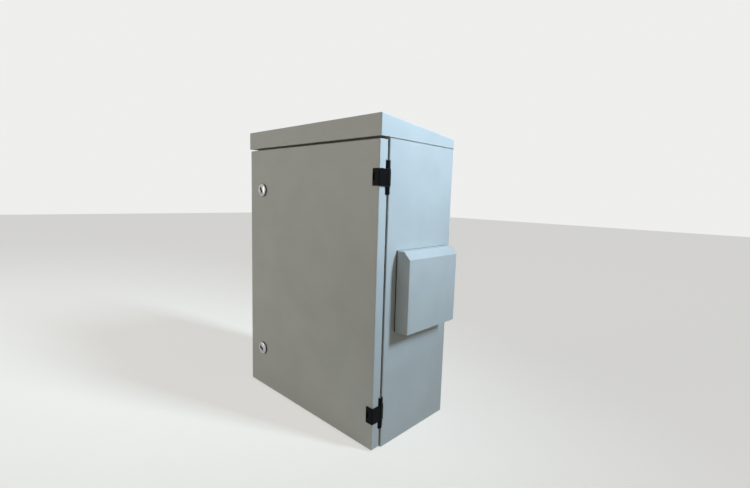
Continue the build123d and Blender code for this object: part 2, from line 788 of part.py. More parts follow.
def fan_frame():
    """Square frame round the duct. Four struts carry the motor base with the shaft bore."""
    outline = RectangleRounded(fan_size, fan_size, 0.05 * fan_size) - Circle(fan_bore / 2)
    frame = extrude(outline, fan_depth)
    duct = raised(fan_bore / 2 + sheet, 0, fan_depth)
    for side in (-1, 1):
        recess = Box(0.6 * fan_size, 0.06 * fan_size, 0.64 * fan_depth)
        frame -= Pos(0, side * fan_size / 2, fan_depth / 2) * recess - duct
    cross = Rectangle(fan_bore, fan_strut_width) + Rectangle(fan_strut_width, fan_bore)
    base = Circle(fan_hub_radius) + cross
    frame += extrude(base & Circle(fan_bore / 2 + 1), fan_strut_height)
    frame += raised(fan_motor_radius, fan_strut_height - 1, fan_motor_depth)
    frame -= raised(fan_shaft_radius + running_clearance, fan_strut_height + 1, fan_depth)
    hole_radius = fan_screw_radius + screw_clearance
    for x, y in corners(fan_hole_spacing, fan_hole_spacing):
        frame -= small_rod((x, y, -1), (0, 0, 1), hole_radius, fan_depth + 2)
    return fan_plane * frame


def blade_section(radius, chord, pitch):
    """Section across a blade at a distance from the fan axis."""
    plane = Plane(origin=(radius, 0, 0.56 * fan_depth), x_dir=(0, 1, 0), z_dir=(1, 0, 0))
    return plane * Rot(0, 0, pitch) * Rectangle(chord, blade_thickness)


def fan_blade():
    """One blade lofted from a steep root in the hub to a flatter, wider tip."""
    root = blade_section(fan_hub_radius - 2 * sheet, blade_root_chord, blade_root_pitch)
    tip = blade_section(fan_bore / 2, blade_tip_chord, blade_tip_pitch)
    return loft([root, tip], ruled=True)


def fan_rotor():
    """Hub cup over the motor base, with its shaft and a ring of twisted blades."""
    hub = raised(fan_hub_radius, 0.2 * fan_depth, 0.92 * fan_depth)
    hub -= raised(fan_hub_radius - sheet, 0, 0.86 * fan_depth)
    tip_radius = fan_bore / 2 - fan_tip_clearance
    reach = raised(tip_radius, 0, fan_depth) - raised(fan_hub_radius - sheet / 2, 0, fan_depth)
    blade = fan_blade() & reach
    for rotation in PolarLocations(0, fan_blade_count):
        hub += rotation * blade
    return fan_plane * (hub + raised(fan_shaft_radius, 0.26 * fan_depth, 0.9 * fan_depth))


def fan_guard():
    """Wire guard over the fan: rings on four radial wires that end in eyes."""
    eye_distance = hypot(fan_hole_spacing / 2, fan_hole_spacing / 2)
    pitch = fan_bore / 2 / (guard_ring_count + 0.3)
    guard = Part()
    for index in range(guard_ring_count):
        radius = (index + 1) * pitch
        ring = RegularPolygon(radius + guard_wire, guard_ring_sides)
        ring -= RegularPolygon(radius - guard_wire, guard_ring_sides)
        guard += Pos(0, 0, fan_depth + 1.6 * guard_wire) * extrude(ring, 1.8 * guard_wire)
    for rotation in PolarLocations(0, 4, start_angle=45):
        start = Plane(origin=(pitch, 0, fan_depth + guard_wire), z_dir=(1, 0, 0))
        guard += rotation * extrude(start * RegularPolygon(guard_wire, 6), eye_distance - pitch)
    hole_radius = fan_screw_radius + screw_clearance
    for x, y in corners(fan_hole_spacing, fan_hole_spacing):
        guard += small_rod((x, y, fan_depth), (0, 0, 1), 2.4 * fan_screw_radius, guard_eye_height)
        guard -= small_rod((x, y, fan_depth - 1), (0, 0, 1), hole_radius, 3 * guard_eye_height)
    return fan_plane * guard


# Filter on the right wall
def filter_frame():
    """Frame with sloping slats towards the inside and a pocket for the mat at the wall."""
    inner_x = filter_wall_x - filter_depth
    plane = filter_plane.offset(-filter_depth)
    window = filter_size - 2 * filter_rim
    mat = filter_mat_size + 2 * fit_clearance
    frame = plane * extrude(RectangleRounded(filter_size, filter_size, 2 * filter_wall), filter_depth)
    frame -= plane * extrude(Rectangle(window, window), filter_depth)
    pocket = Pos(0, 0, filter_depth - filter_mat_depth - fit_clearance) * Rectangle(mat, mat)
    frame -= plane * extrude(pocket, filter_depth)
    slat_reach = filter_depth - filter_mat_depth - filter_wall
    pitch = window / filter_slat_count
    for index in range(filter_slat_count):
        z = hood_right_height - window / 2 + (index + 0.5) * pitch
        slat = Box(hypot(slat_reach, slat_reach), window + 1, 0.6 * filter_wall)
        frame += Pos(inner_x + slat_reach / 2 + 0.4 * filter_wall, hood_y, z) * Rot(0, -45, 0) * slat
    hole_radius = fan_screw_radius + screw_clearance
    for y, z in filter_hole_places():
        frame -= small_rod((inner_x - 1, y, z), (1, 0, 0), hole_radius, filter_depth + 2)
    return frame


def filter_mat():
    return filter_plane * extrude(Rectangle(filter_mat_size, filter_mat_size), -filter_mat_depth)


def vent_screws():
    """Four screws for the fan and four for the filter frame."""
    screws = []
    fan_seat = fan_depth + guard_eye_height
    for y, z in fan_hole_places():
        seat = (fan_wall_x + fan_seat, y, z)
        screws.append(pan_screw(seat, (-1, 0, 0), fan_screw_radius, fan_seat + 2 * sheet))
    for y, z in filter_hole_places():
        seat = (filter_wall_x - filter_depth, y, z)
        screws.append(pan_screw(seat, (1, 0, 0), fan_screw_radius, filter_depth + 2 * sheet))
    return screws


# Mounting plate
def mounting_plate():
    """Plate with its long edges folded back, on four studs, drilled for what it carries."""
    middle_y = (plate_front_y + plate_front_y + plate_flange) / 2
    section = Pos(0, middle_y) * Rectangle(plate_width, plate_flange)
    inner = Pos(0, middle_y + plate_sheet) * Rectangle(plate_width - 2 * plate_sheet, plate_flange)
    plate = Pos(0, 0, plate_bottom) * extrude(section - inner, plate_height)
    for x, z in plate_stud_places():
        hole_radius = plate_stud_radius + screw_clearance
        plate -= small_rod((x, plate_front_y - 1, z), (0, 1, 0), hole_radius, plate_sheet + 2)
    drilled = ((rail_screw_radius, rail_screw_places()), (main_screw_radius, equipment_screw_places()))
    for radius, places in drilled:
        hole_radius = radius + screw_clearance
        for x, z in places:
            plate -= small_rod((x, plate_front_y - 1, z), (0, 1, 0), hole_radius, plate_sheet + 2)
    return plate


def plate_nuts():
    nuts = []
    for x, z in plate_stud_places():
        nuts.append(hex_nut((x, plate_front_y, z), (0, -1, 0), plate_stud_radius))
    return nuts


# Rails
def forward(depth, datum):
    """Y at a depth in front of a datum."""
    return datum - depth


def din_rail(centre_x, height, length):
    """Top-hat rail with a row of slots."""
    waist = rail_waist / 2
    lip = rail_width / 2
    half = [(0, waist), (rail_depth - rail_sheet, waist), (rail_depth - rail_sheet, lip), (rail_depth, lip)]
    half += [(rail_depth, waist - rail_sheet), (rail_sheet, waist - rail_sheet)]
    upper = [(forward(depth, plate_front_y), height + up) for depth, up in half]
    lower = [(forward(depth, plate_front_y), height - up) for depth, up in reversed(half)]
    outline = make_face(Polyline(upper + lower, close=True))
    rail = extruded_x(outline, centre_x - length / 2, centre_x + length / 2)
    plane = upright(centre_x, plate_front_y + 1, height, facing=-1)
    slot = Rectangle(rail_slot_length, rail_slot_width)
    slots = Sketch() + GridLocations(rail_slot_pitch, 0, round(length / rail_slot_pitch) - 1, 1) * slot
    return rail - plane * extrude(slots, 2 * rail_sheet + 1)


def rail_screw_places():
    """Where the two rails are screwed down, as X and Z."""
    places = []
    for centre_x, height, length in (
        (0, breaker_rail_height, breaker_rail_length),
        (terminal_rail_centre, terminal_rail_height, terminal_rail_length),
    ):
        reach = (round(length / rail_slot_pitch) - 2) * rail_slot_pitch / 2
        places += [(centre_x - reach, height), (centre_x + reach, height)]
    return places


def rail_screws():
    seat_y = plate_front_y - rail_sheet
    length = rail_sheet + plate_sheet + 2 * rail_screw_radius
    return [pan_screw((x, seat_y, z), (0, 1, 0), rail_screw_radius, length) for x, z in rail_screw_places()]


def clipped(points, height):
    """Side outline of a rail-mounted device: its front points, then the grip round the rail lips."""
    lip = rail_width / 2 + fit_clearance
    hook = rail_width / 2 - grip_lap
    back = rail_sheet + fit_clearance
    grip = [(-device_bed, hook), (-back, hook), (-back, lip), (0, lip)]
    grip += [(depth, -up) for depth, up in reversed(grip)]
    outline = [(forward(depth, rail_lip_y), height + up) for depth, up in points + grip]
    return make_face(Polyline(outline, close=True))


def breaker_places():
    """Middle of each branch breaker in its row."""
    first = breaker_row_centre - (breaker_count - 1) * breaker_spacing / 2
    return [first + index * breaker_spacing for index in range(breaker_count)]


def breaker_case(centre_x):
    """Two-pole breaker with the usual raised nose, clipped on the upper rail."""
    half = breaker_height / 2
    nose = breaker_nose / 2
    points = [(breaker_depth, nose), (breaker_shoulder, nose), (breaker_shoulder, half), (-device_bed, half)]
    points = [(depth, -up) for depth, up in reversed(points)] + points
    outline = clipped(points, breaker_rail_height)
    case = extruded_x(outline, centre_x - breaker_width / 2, centre_x + breaker_width / 2)
    front_y = forward(breaker_depth, rail_lip_y)
    front_edges = [edge for edge in case.edges().filter_by(Axis.X) if edge.center().Y < front_y + 1]
    case = fillet(front_edges, 2.5)
    shoulder_y = forward(breaker_shoulder, rail_lip_y)
    for x, z in corners(breaker_width / 2, breaker_well_spacing):
        start = (centre_x + x, shoulder_y - 1, breaker_rail_height + z)
        case -= small_rod(start, (0, 1, 0), terminal_well_radius, terminal_well_depth + 1)
    toggle_size = (branch_toggle_width, branch_toggle_radius)
    return case - toggle_room(centre_x, front_y, breaker_rail_height, *toggle_size)


def toggle_pivot_y(front_y, radius):
    return front_y + toggle_pivot_setback * radius


def toggle_room(centre_x, front_y, height, width, radius):
    """Slot for a toggle and the bores for its two trunnions."""
    half_width = width / 2 + knuckle_clearance
    pivot_y = toggle_pivot_y(front_y, radius)
    slot = span(
        (centre_x - half_width, centre_x + half_width),
        (front_y - 1, pivot_y + toggle_pivot_setback * radius),
        (height - toggle_slot_reach * radius, height + toggle_slot_reach * radius),
    )
    bore_length = 2 * half_width + 4 * toggle_pivot_radius
    start = (centre_x - bore_length / 2, pivot_y, height)
    return slot + rod(start, (1, 0, 0), toggle_pivot_radius + running_clearance, bore_length)


def toggle(centre_x, front_y, height, width, radius):
    """Toggle in its off position: a drum on trunnions with a lever that points down and forward."""
    pivot_y = toggle_pivot_y(front_y, radius)
    drum = Plane.YZ * extrude(RegularPolygon(radius, toggle_drum_sides), width / 2, both=True)
    pivot_length = width + 2 * toggle_pivot_radius
    drum += small_rod((-pivot_length / 2, 0, 0), (1, 0, 0), toggle_pivot_radius, pivot_length)
    half = toggle_lever_thickness * radius / 2
    lever = span((-width / 2, width / 2), (-toggle_lever_reach * radius, 0), (-half, half))
    return Pos(centre_x, pivot_y, height) * (drum + Rot(toggle_throw / 2, 0, 0) * lever)


def branch_toggle(centre_x):
    front_y = forward(breaker_depth, rail_lip_y)
    return toggle(centre_x, front_y, breaker_rail_height, branch_toggle_width, branch_toggle_radius)


# Main breaker
def main_breaker_case():
    """Moulded case on the plate, stepped down to its three terminals at each end."""
    half = main_height / 2
    nose = 0.31 * main_height
    low = main_depth - main_step
    points = [(0, -half), (low, -half), (low, -nose), (main_depth, -nose)]
    points += [(depth, -up) for depth, up in reversed(points)]
    outline = [(forward(depth, plate_front_y), main_centre_height + up) for depth, up in points]
    side = make_face(Polyline(outline, close=True))
    case = extruded_x(side, main_centre - main_width / 2, main_centre + main_width / 2)
    front_y = forward(main_depth, plate_front_y)
    front_edges = case.faces().sort_by(Axis.Y)[0].edges()
    case = fillet(front_edges, 2)
    low_y = forward(low, plate_front_y)
    for sign in (-1, 1):
        for pole in (-1, 0, 1):
            start = (main_centre + pole * main_width / 3, low_y - 1, main_centre_height + sign * 0.86 * half)
            case -= small_rod(start, (0, 1, 0), terminal_well_radius, terminal_well_depth + 1)
        for gap in (-0.5, 0.5):
            x = main_centre + gap * main_width / 3
            ends = (main_centre_height + sign * 0.78 * half, main_centre_height + sign * (half + 1))
            case -= span((x - 1, x + 1), (low_y - 1, low_y + 1.2 * main_step), sorted(ends))
    for x, z in main_screw_places():
        case -= small_rod((x, low_y - 1, z), (0, 1, 0), main_screw_radius + screw_clearance, low + 2)
    return case - toggle_room(main_centre, front_y, main_centre_height, main_toggle_width, main_toggle_radius)


def main_toggle():
    front_y = forward(main_depth, plate_front_y)
    return toggle(main_centre, front_y, main_centre_height, main_toggle_width, main_toggle_radius)


def main_screw_places():
    """Two screws at opposite corners of the main breaker, between its poles."""
    x = main_width / 6
    z = 0.36 * main_height
    return [(main_centre + x, main_centre_height + z), (main_centre - x, main_centre_height - z)]


def terminal_blocks():
    """Row of stepped terminal blocks, clipped on the lower rail."""
    half = terminal_height / 2
    step = 0.6 * terminal_depth
    points = [(-device_bed, -half), (step, -half), (terminal_depth, -0.5 * half)]
    points += [(terminal_depth, 0.5 * half), (step, half), (-device_bed, half)]
    outline = clipped(points, terminal_rail_height)
    blocks = []
    pitch = terminal_width + fit_clearance
    first = terminal_rail_centre - (terminal_count - 1) * pitch / 2
    for index in range(terminal_count):
        centre_x = first + index * pitch
        block = extruded_x(outline, centre_x - terminal_width / 2, centre_x + terminal_width / 2)
        for z in (terminal_rail_height - 0.3 * half, terminal_rail_height + 0.3 * half):
            start = (centre_x, forward(terminal_depth + 1, rail_lip_y), z)
            block -= small_rod(start, (0, 1, 0), 0.28 * terminal_width, 0.3 * terminal_depth)
        blocks.append(block)
    return blocks


# Neutral and earth bars
def bar(height, foot_height):
    """Terminal bar with a row of wire holes, and holes for its clamp screws and end screws."""
    front_y = forward(foot_height + bar_thickness, plate_front_y)
    half = bar_length / 2
    z_limits = (height - bar_width / 2, height + bar_width / 2)
    solid = span((bar_centre - half, bar_centre + half), (front_y, front_y + bar_thickness), z_limits)
    bore_y = front_y + 0.55 * bar_thickness
    for x in bar_hole_places():
        start = (x, front_y - 1, height)
        solid -= small_rod((x, bore_y, z_limits[0] - 1), (0, 0, 1), bar_hole_radius, bar_width + 2)
        solid -= small_rod(start, (0, 1, 0), bar_clamp_radius + fit_clearance, 0.6 * bar_thickness)
    hole_radius = main_screw_radius + screw_clearance
    for x in bar_end_places():
        solid -= small_rod((x, front_y - 1, height), (0, 1, 0), hole_radius, bar_thickness + 2)
    return solid


def bar_hole_places():
    reach = bar_length - 4 * bar_end_inset
    return [bar_centre - reach / 2 + index * reach / (bar_hole_count - 1) for index in range(bar_hole_count)]


def bar_end_places():
    return [bar_centre + sign * (bar_length / 2 - bar_end_inset) for sign in (-1, 1)]


def bar_feet(height, foot_height):
    """Two feet between a bar and the plate."""
    feet = []
    hole_radius = main_screw_radius + screw_clearance
    for x in bar_end_places():
        foot = span(
            (x - 0.75 * bar_end_inset, x + 0.75 * bar_end_inset),
            (plate_front_y - foot_height, plate_front_y),
            (height - 0.8 * bar_width, height + 0.8 * bar_width),
        )
        start = (x, plate_front_y + 1, height)
        feet.append(foot - small_rod(start, (0, -1, 0), hole_radius, foot_height + 2))
    return feet


def bar_clamp_screws():
    screws = []
    bars = ((neutral_bar_height, neutral_foot_height), (earth_bar_height, earth_foot_height))
    for height, foot_height in bars:
        front_y = forward(foot_height + bar_thickness, plate_front_y)
        for x in bar_hole_places():
            start = (x, front_y - 0.15 * bar_thickness, height)
            screws.append(small_rod(start, (0, 1, 0), bar_clamp_radius, 0.4 * bar_thickness))
    return screws


def equipment_screw_places():
    bars = [(x, height) for height in (neutral_bar_height, earth_bar_height) for x in bar_end_places()]
    return main_screw_places() + bars


def equipment_screws():
    """Screws of the main breaker and of both bars."""
    low = main_depth - main_step
    seats = [(x, low, z) for x, z in main_screw_places()]
    seats += [(x, neutral_foot_height + bar_thickness, neutral_bar_height) for x in bar_end_places()]
    seats += [(x, earth_foot_height + bar_thickness, earth_bar_height) for x in bar_end_places()]
    screws = []
    for x, depth, z in seats:
        seat = (x, forward(depth, plate_front_y), z)
        screws.append(pan_screw(seat, (0, 1, 0), main_screw_radius, depth + 2 * plate_sheet))
    return screws


# Gland plate and grommets
def entry_places():
    """Middle of each cable entry, as X and Y."""
    first = -(entry_count - 1) * entry_spacing / 2
    return [(first + index * entry_spacing, gland_y) for index in range(entry_count)]


def gland_plate():
    outline = RectangleRounded(gland_width, gland_depth, lip_corner_radius)
    plate = Pos(0, gland_y, sheet) * extrude(outline, gland_sheet)
    hole_radius = gland_screw_radius + screw_clearance
    for x, y in gland_screw_places():
        plate -= small_rod((x, y, 0), (0, 0, 1), hole_radius, sheet + gland_sheet + 1)
    for x, y in entry_places():
        plate -= grommet_ring(x, y, entry_radius + grommet_wall + fit_clearance, 0, 2 * gland_sheet + sheet)
    return plate


def gland_screws():
    """Screws from above, which end inside the base sheet."""
    seat_z = sheet + gland_sheet
    length = seat_z - 0.2 * sheet
    seats = [(x, y, seat_z) for x, y in gland_screw_places()]
    return [pan_screw(seat, (0, 0, -1), gland_screw_radius, length) for seat in seats]


def grommet_ring(x, y, radius, bottom, top):
    """Many-sided disc about a cable entry between two heights."""
    return Pos(x, y, bottom) * extrude(RegularPolygon(radius, grommet_sides), top - bottom)


def grommet(x, y):
    """Rubber grommet with a lip under and over the gland plate, and a round bore for the cable."""
    neck = entry_radius + grommet_wall
    lip = neck + grommet_lip
    bottom = sheet - grommet_lip_height
    plate_top = sheet + gland_sheet
    top = plate_top + 2 * grommet_lip_height
    ring = grommet_ring(x, y, lip, bottom, sheet)
    ring += grommet_ring(x, y, neck, sheet, plate_top)
    ring += grommet_ring(x, y, lip, plate_top, top)
    return ring - rod((x, y, bottom), (0, 0, 1), entry_radius, top - bottom)


def build_nodes():
    """Every sub-part by its node name. A list is a group of separate solids."""
    nodes = {
        "housing_shell": housing_shell(),
        "roof_cap": roof_cap(),
        "roof_bracket_left": roof_bracket(-1),
        "roof_bracket_right": roof_bracket(1),
        "roof_bolts": roof_bolts(),
        "door_panel": door_panel(),
        "door_gasket": door_gasket(),
        "door_stiffener": door_stiffener(),
        "hinge_pins": hinge_pins(),
        "hinge_leaf_screws": hinge_leaf_screws(),
        "hinge_block_screws": hinge_block_screws(),
        "lock_housings": [lock_housing(height) for height in lock_heights.values()],
        "lock_nuts": lock_nuts(),
        "hood_nuts": hood_nuts(),
        "fan_frame": fan_frame(),
        "fan_rotor": fan_rotor(),
        "fan_guard": fan_guard(),
        "filter_frame": filter_frame(),
        "filter_mat": filter_mat(),
        "vent_screws": vent_screws(),
        "mounting_plate": mounting_plate(),
        "plate_nuts": plate_nuts(),
        "din_rail_upper": din_rail(0, breaker_rail_height, breaker_rail_length),
        "din_rail_lower": din_rail(terminal_rail_centre, terminal_rail_height, terminal_rail_length),
        "rail_screws": rail_screws(),
        "main_breaker_case": main_breaker_case(),
        "main_breaker_toggle": main_toggle(),
        "terminal_blocks": terminal_blocks(),
        "neutral_bar": bar(neutral_bar_height, neutral_foot_height),
        "neutral_bar_feet": bar_feet(neutral_bar_height, neutral_foot_height),
        "earth_bar": bar(earth_bar_height, earth_foot_height),
        "earth_bar_feet": bar_feet(earth_bar_height, earth_foot_height),
        "bar_clamp_screws": bar_clamp_screws(),
        "equipment_screws": equipment_screws(),
        "gland_plate": gland_plate(),
        "gland_screws": gland_screws(),
        "cable_grommets": [grommet(x, y) for x, y in entry_places()],
    }
    for index, centre_x in enumerate(breaker_places(), start=1):
        nodes[f"branch_breaker_{index}_case"] = breaker_case(centre_x)
        nodes[f"branch_breaker_{index}_toggle"] = branch_toggle(centre_x)
    for place, height in hinge_heights.items():
        nodes[f"hinge_{place}_block"] = hinge_block(height)
        nodes[f"hinge_{place}_leaf"] = hinge_leaf(height)
    for place, height in lock_heights.items():
        nodes[f"lock_{place}_core"] = lock_core(height, lock_key_angles[place])
        nodes[f"lock_{place}_cam"] = lock_cam(height)
        nodes[f"lock_{place}_cam_bolt"] = lock_cam_bolt(height)
    for place, side, height in (("left", -1, hood_left_height), ("right", 1, hood_right_height)):
        nodes[f"vent_hood_{place}"] = vent_hood(side, height)
        nodes[f"hood_gasket_{place}"] = hood_gasket_ring(side, height)
    return nodes


os.makedirs("parts", exist_ok=True)
for name, shape in build_nodes().items():
    pieces = shape if isinstance(shape, list) else [shape]
    solids = [solid for piece in pieces for solid in piece.solids()]
    export_step(Compound(children=solids) if len(solids) > 1 else solids[0], f"parts/{name}.step")
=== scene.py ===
import json
from contextlib import contextmanager
from math import cos, pi, radians, sin, tau

import bpy
from bpy.props import FloatProperty, FloatVectorProperty, PointerProperty
from mathutils import Matrix, Vector

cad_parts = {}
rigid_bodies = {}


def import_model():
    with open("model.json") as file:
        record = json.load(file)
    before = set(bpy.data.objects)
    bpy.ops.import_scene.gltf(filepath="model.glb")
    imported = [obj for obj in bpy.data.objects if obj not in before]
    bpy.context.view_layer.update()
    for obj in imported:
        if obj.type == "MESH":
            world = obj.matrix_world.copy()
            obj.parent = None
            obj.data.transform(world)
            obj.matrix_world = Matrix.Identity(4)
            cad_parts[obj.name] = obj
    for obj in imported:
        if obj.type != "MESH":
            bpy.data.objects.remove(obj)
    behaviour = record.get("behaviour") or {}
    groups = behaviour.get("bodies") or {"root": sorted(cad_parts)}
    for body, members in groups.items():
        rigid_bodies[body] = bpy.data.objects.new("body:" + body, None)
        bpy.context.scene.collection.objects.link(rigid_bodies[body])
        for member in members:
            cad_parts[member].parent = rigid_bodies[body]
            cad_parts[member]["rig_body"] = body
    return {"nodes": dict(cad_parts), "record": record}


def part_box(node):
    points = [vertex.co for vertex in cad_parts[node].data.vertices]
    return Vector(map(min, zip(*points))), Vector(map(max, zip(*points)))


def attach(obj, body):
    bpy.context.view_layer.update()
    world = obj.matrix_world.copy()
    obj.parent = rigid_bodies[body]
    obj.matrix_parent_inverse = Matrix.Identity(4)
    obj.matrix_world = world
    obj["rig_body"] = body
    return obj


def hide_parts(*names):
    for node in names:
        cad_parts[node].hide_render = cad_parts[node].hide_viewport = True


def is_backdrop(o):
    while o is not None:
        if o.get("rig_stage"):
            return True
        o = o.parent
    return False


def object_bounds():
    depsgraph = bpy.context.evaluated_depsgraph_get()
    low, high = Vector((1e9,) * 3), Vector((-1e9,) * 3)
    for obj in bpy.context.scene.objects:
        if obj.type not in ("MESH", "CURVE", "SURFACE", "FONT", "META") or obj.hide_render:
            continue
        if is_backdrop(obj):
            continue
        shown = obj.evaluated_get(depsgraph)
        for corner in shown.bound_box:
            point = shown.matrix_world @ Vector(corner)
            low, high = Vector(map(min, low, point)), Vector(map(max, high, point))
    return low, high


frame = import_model()
cad_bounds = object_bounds()

bl_info = {
    "name": "Electrical Distribution Box",
    "version": (1, 0, 0),
    "blender": (4, 5, 0),
    "location": "View3D > Sidebar > Box",
    "description": "Finishes an outdoor distribution box: coated sheet, locks, hinges and switchgear",
    "category": "Object",
}

MILLIMETRE = 0.001
# Towards the front
FORWARD = (0, -1, 0)
# Outward from the door, seen from the front: X to the right, Y up and Z towards the viewer
FACING_FRONT = Matrix(((1, 0, 0, 0), (0, 0, -1, 0), (0, 1, 0, 0), (0, 0, 0, 1)))

# Distances in metres under which corners are one: of CAD triangles, of spun shapes and of wound threads
CAD_MERGE = 2e-6
SPIN_MERGE = 1e-7
THREAD_MERGE = 1e-6


# Properties

def colour_property(name, description, default):
    return FloatVectorProperty(
        name=name, description=description, default=default, subtype="COLOR", size=3, min=0, max=1
    )


def length_property(name, description, millimetres):
    return FloatProperty(
        name=name, description=description, default=millimetres * MILLIMETRE, unit="LENGTH", min=0, precision=5
    )


def share_property(name, description, default):
    return FloatProperty(name=name, description=description, default=default, subtype="FACTOR", min=0, max=1)


def angle_property(name, description, degrees):
    return FloatProperty(name=name, description=description, default=radians(degrees), unit="ROTATION")


class BoxColours(bpy.types.PropertyGroup):
    """Colours of the finishes."""

    paint: colour_property("Paint", "Light grey powder coat on all sheet metal outside", (0.610, 0.632, 0.600))
    paint_shade: colour_property("Paint shade", "Slightly thinner coat beside the folds", (0.560, 0.585, 0.560))
    zinc: colour_property("Zinc", "Zinc-plated sheet and fasteners", (0.56, 0.575, 0.59))
    chrome: colour_property("Chrome", "Lock heads", (0.52, 0.52, 0.53))
    diecast: colour_property("Die-cast black", "Coated hinges", (0.004, 0.004, 0.005))
    rubber: colour_property("Rubber", "Gaskets and grommets", (0.018, 0.018, 0.019))
    black_plastic: colour_property("Black plastic", "Fan and main toggle", (0.022, 0.022, 0.024))
    grey_plastic: colour_property("Grey plastic", "Main breaker, filter frame, terminals", (0.24, 0.25, 0.26))
    white_plastic: colour_property("White plastic", "Branch breaker cases", (0.70, 0.71, 0.69))
    blue_plastic: colour_property("Blue plastic", "Branch toggles and neutral feet", (0.035, 0.12, 0.34))
    fleece: colour_property("Fleece", "Filter mat", (0.66, 0.66, 0.62))
    brass: colour_property("Brass", "Neutral and earth bars", (0.70, 0.50, 0.21))


class BoxSurface(bpy.types.PropertyGroup):
    """Sizes of the surface detail."""

    peel_size: length_property("Orange peel", "Distance between the bumps of the powder coat", 1.5)
    peel_depth: length_property("Orange peel depth", "Height of the bumps of the powder coat", 0.030)
    mottle_size: length_property("Paint mottle", "Distance between the broad patches of the powder coat", 90)
    speck_size: length_property("Paint specks", "Distance between the specks of the powder coat", 2.2)
    paint_roughness: share_property("Paint roughness", "Roughness of the powder coat", 0.40)
    grain_size: length_property("Moulded grain", "Distance between the grains of moulded plastic", 0.5)
    grain_depth: length_property("Moulded grain depth", "Height of the grains of moulded plastic", 0.012)
    flow_size: length_property("Flow mottle", "Distance between the flow marks of moulded plastic", 18)
    spangle_size: length_property("Zinc spangle", "Size of the crystals in the zinc coat", 5.0)
    rolling_size: length_property("Rolling lines", "Distance between the rolling lines of the sheet", 0.9)
    rolling_depth: length_property("Rolling line depth", "Height of the rolling lines", 0.006)
    mark_size: length_property("Handling marks", "Distance between the handling marks on the chrome", 4.0)
    cast_size: length_property("Cast grain", "Distance between the grains of the coated castings", 0.7)
    cast_depth: length_property("Cast grain depth", "Height of the grains of the coated castings", 0.03)
    rub_size: length_property("Rubbed places", "Distance between the rubbed places of the castings", 12)
    skin_size: length_property("Rubber skin", "Distance between the grains of the rubber's skin", 1.1)
    skin_depth: length_property("Rubber skin depth", "Height of the grains of the rubber's skin", 0.08)
    bloom_size: length_property("Rubber bloom", "Distance between the paler places of the rubber", 20)
    fibre_size: length_property("Fibres", "Distance between the thick fibres of the fleece", 2.5)
    strand_size: length_property("Strands", "Distance between the fine strands of the fleece", 0.9)
    fleece_depth: length_property("Fleece depth", "Height of the tangle of the fleece", 1.2)
    drawing_size: length_property("Drawing lines", "Distance between the drawing lines of the brass", 0.7)
    drawing_depth: length_property("Drawing line depth", "Height of the drawing lines", 0.01)
    tarnish_size: length_property("Tarnish", "Distance between the tarnished places of the brass", 12)


class BoxEdges(bpy.types.PropertyGroup):
    """Rounding of edges that the solids leave sharp."""

    sheet: length_property("Sheet edges", "Radius of cut sheet edges under the paint", 0.5)
    moulded: length_property("Moulded edges", "Radius of the edges of plastic cases", 0.45)
    cast: length_property("Cast edges", "Radius of the edges of the hinges", 0.55)
    fastener: length_property("Fastener edges", "Radius of the edges of nuts, bolts and bars", 0.25)


class BoxLocks(bpy.types.PropertyGroup):
    """Sizes of the quarter-turn locks. Heights are measured outwards from the door's face."""

    head_radius: length_property("Head radius", "Radius of the chrome head", 14.0)
    head_height: length_property("Head height", "Top of the head's rim", 6.0)
    shoulder: length_property("Shoulder", "Radius of the curve between the head's side and its front", 2.6)
    seal_radius: length_property("Seal radius", "Radius of the black ring under the head", 14.3)
    seal_height: length_property("Seal height", "Thickness of the black ring under the head", 2.2)
    rim_radius: length_property("Rim radius", "Radius of the raised rim round the core", 8.7)
    bore_radius: length_property("Bore radius", "Radius of the bore that the core turns in", 7.6)
    shank_radius: length_property("Shank radius", "Radius over the shank's thread", 11.0)
    shank_length: length_property("Shank length", "Length of the shank behind the door's face", 18.0)
    shank_flat: length_property("Shank flat", "Distance of the shank's flats from its axis", 10.0)
    core_radius: length_property("Core radius", "Radius of the turning core", 7.5)
    core_front: length_property("Core front", "Height of the core's front", 5.5)
    core_length: length_property("Core length", "Length of the core to its collar", 23.8)
    collar_radius: length_property("Collar radius", "Radius of the collar that bears on the shank", 9.0)
    square: length_property("Square", "Width of the square that carries the cam", 8.0)
    lobe_radius: length_property("Lobe radius", "Radius of each of the two lobes of the keyhole", 3.7)
    lobe_distance: length_property("Lobe distance", "Distance of each lobe from the core's axis", 3.35)
    neck_width: length_property("Neck width", "Width of the keyhole between its lobes", 5.2)
    # Below this depth the keyhole holds a black fill, painted shade for its dark inside
    keyhole_depth: length_property("Keyhole depth", "Depth of the keyhole down to its black filling", 0.5)
    key_radius: length_property("Key pin radius", "Radius of the pin in the middle of the keyhole", 0.8)
    key_drop: length_property("Key drop", "Depth of the pin's tip below the core's front", 0.3)
    upper_turn: angle_property("Upper keyhole", "Turn of the upper lock's keyhole", -60)
    lower_turn: angle_property("Lower keyhole", "Turn of the lower lock's keyhole", -25)


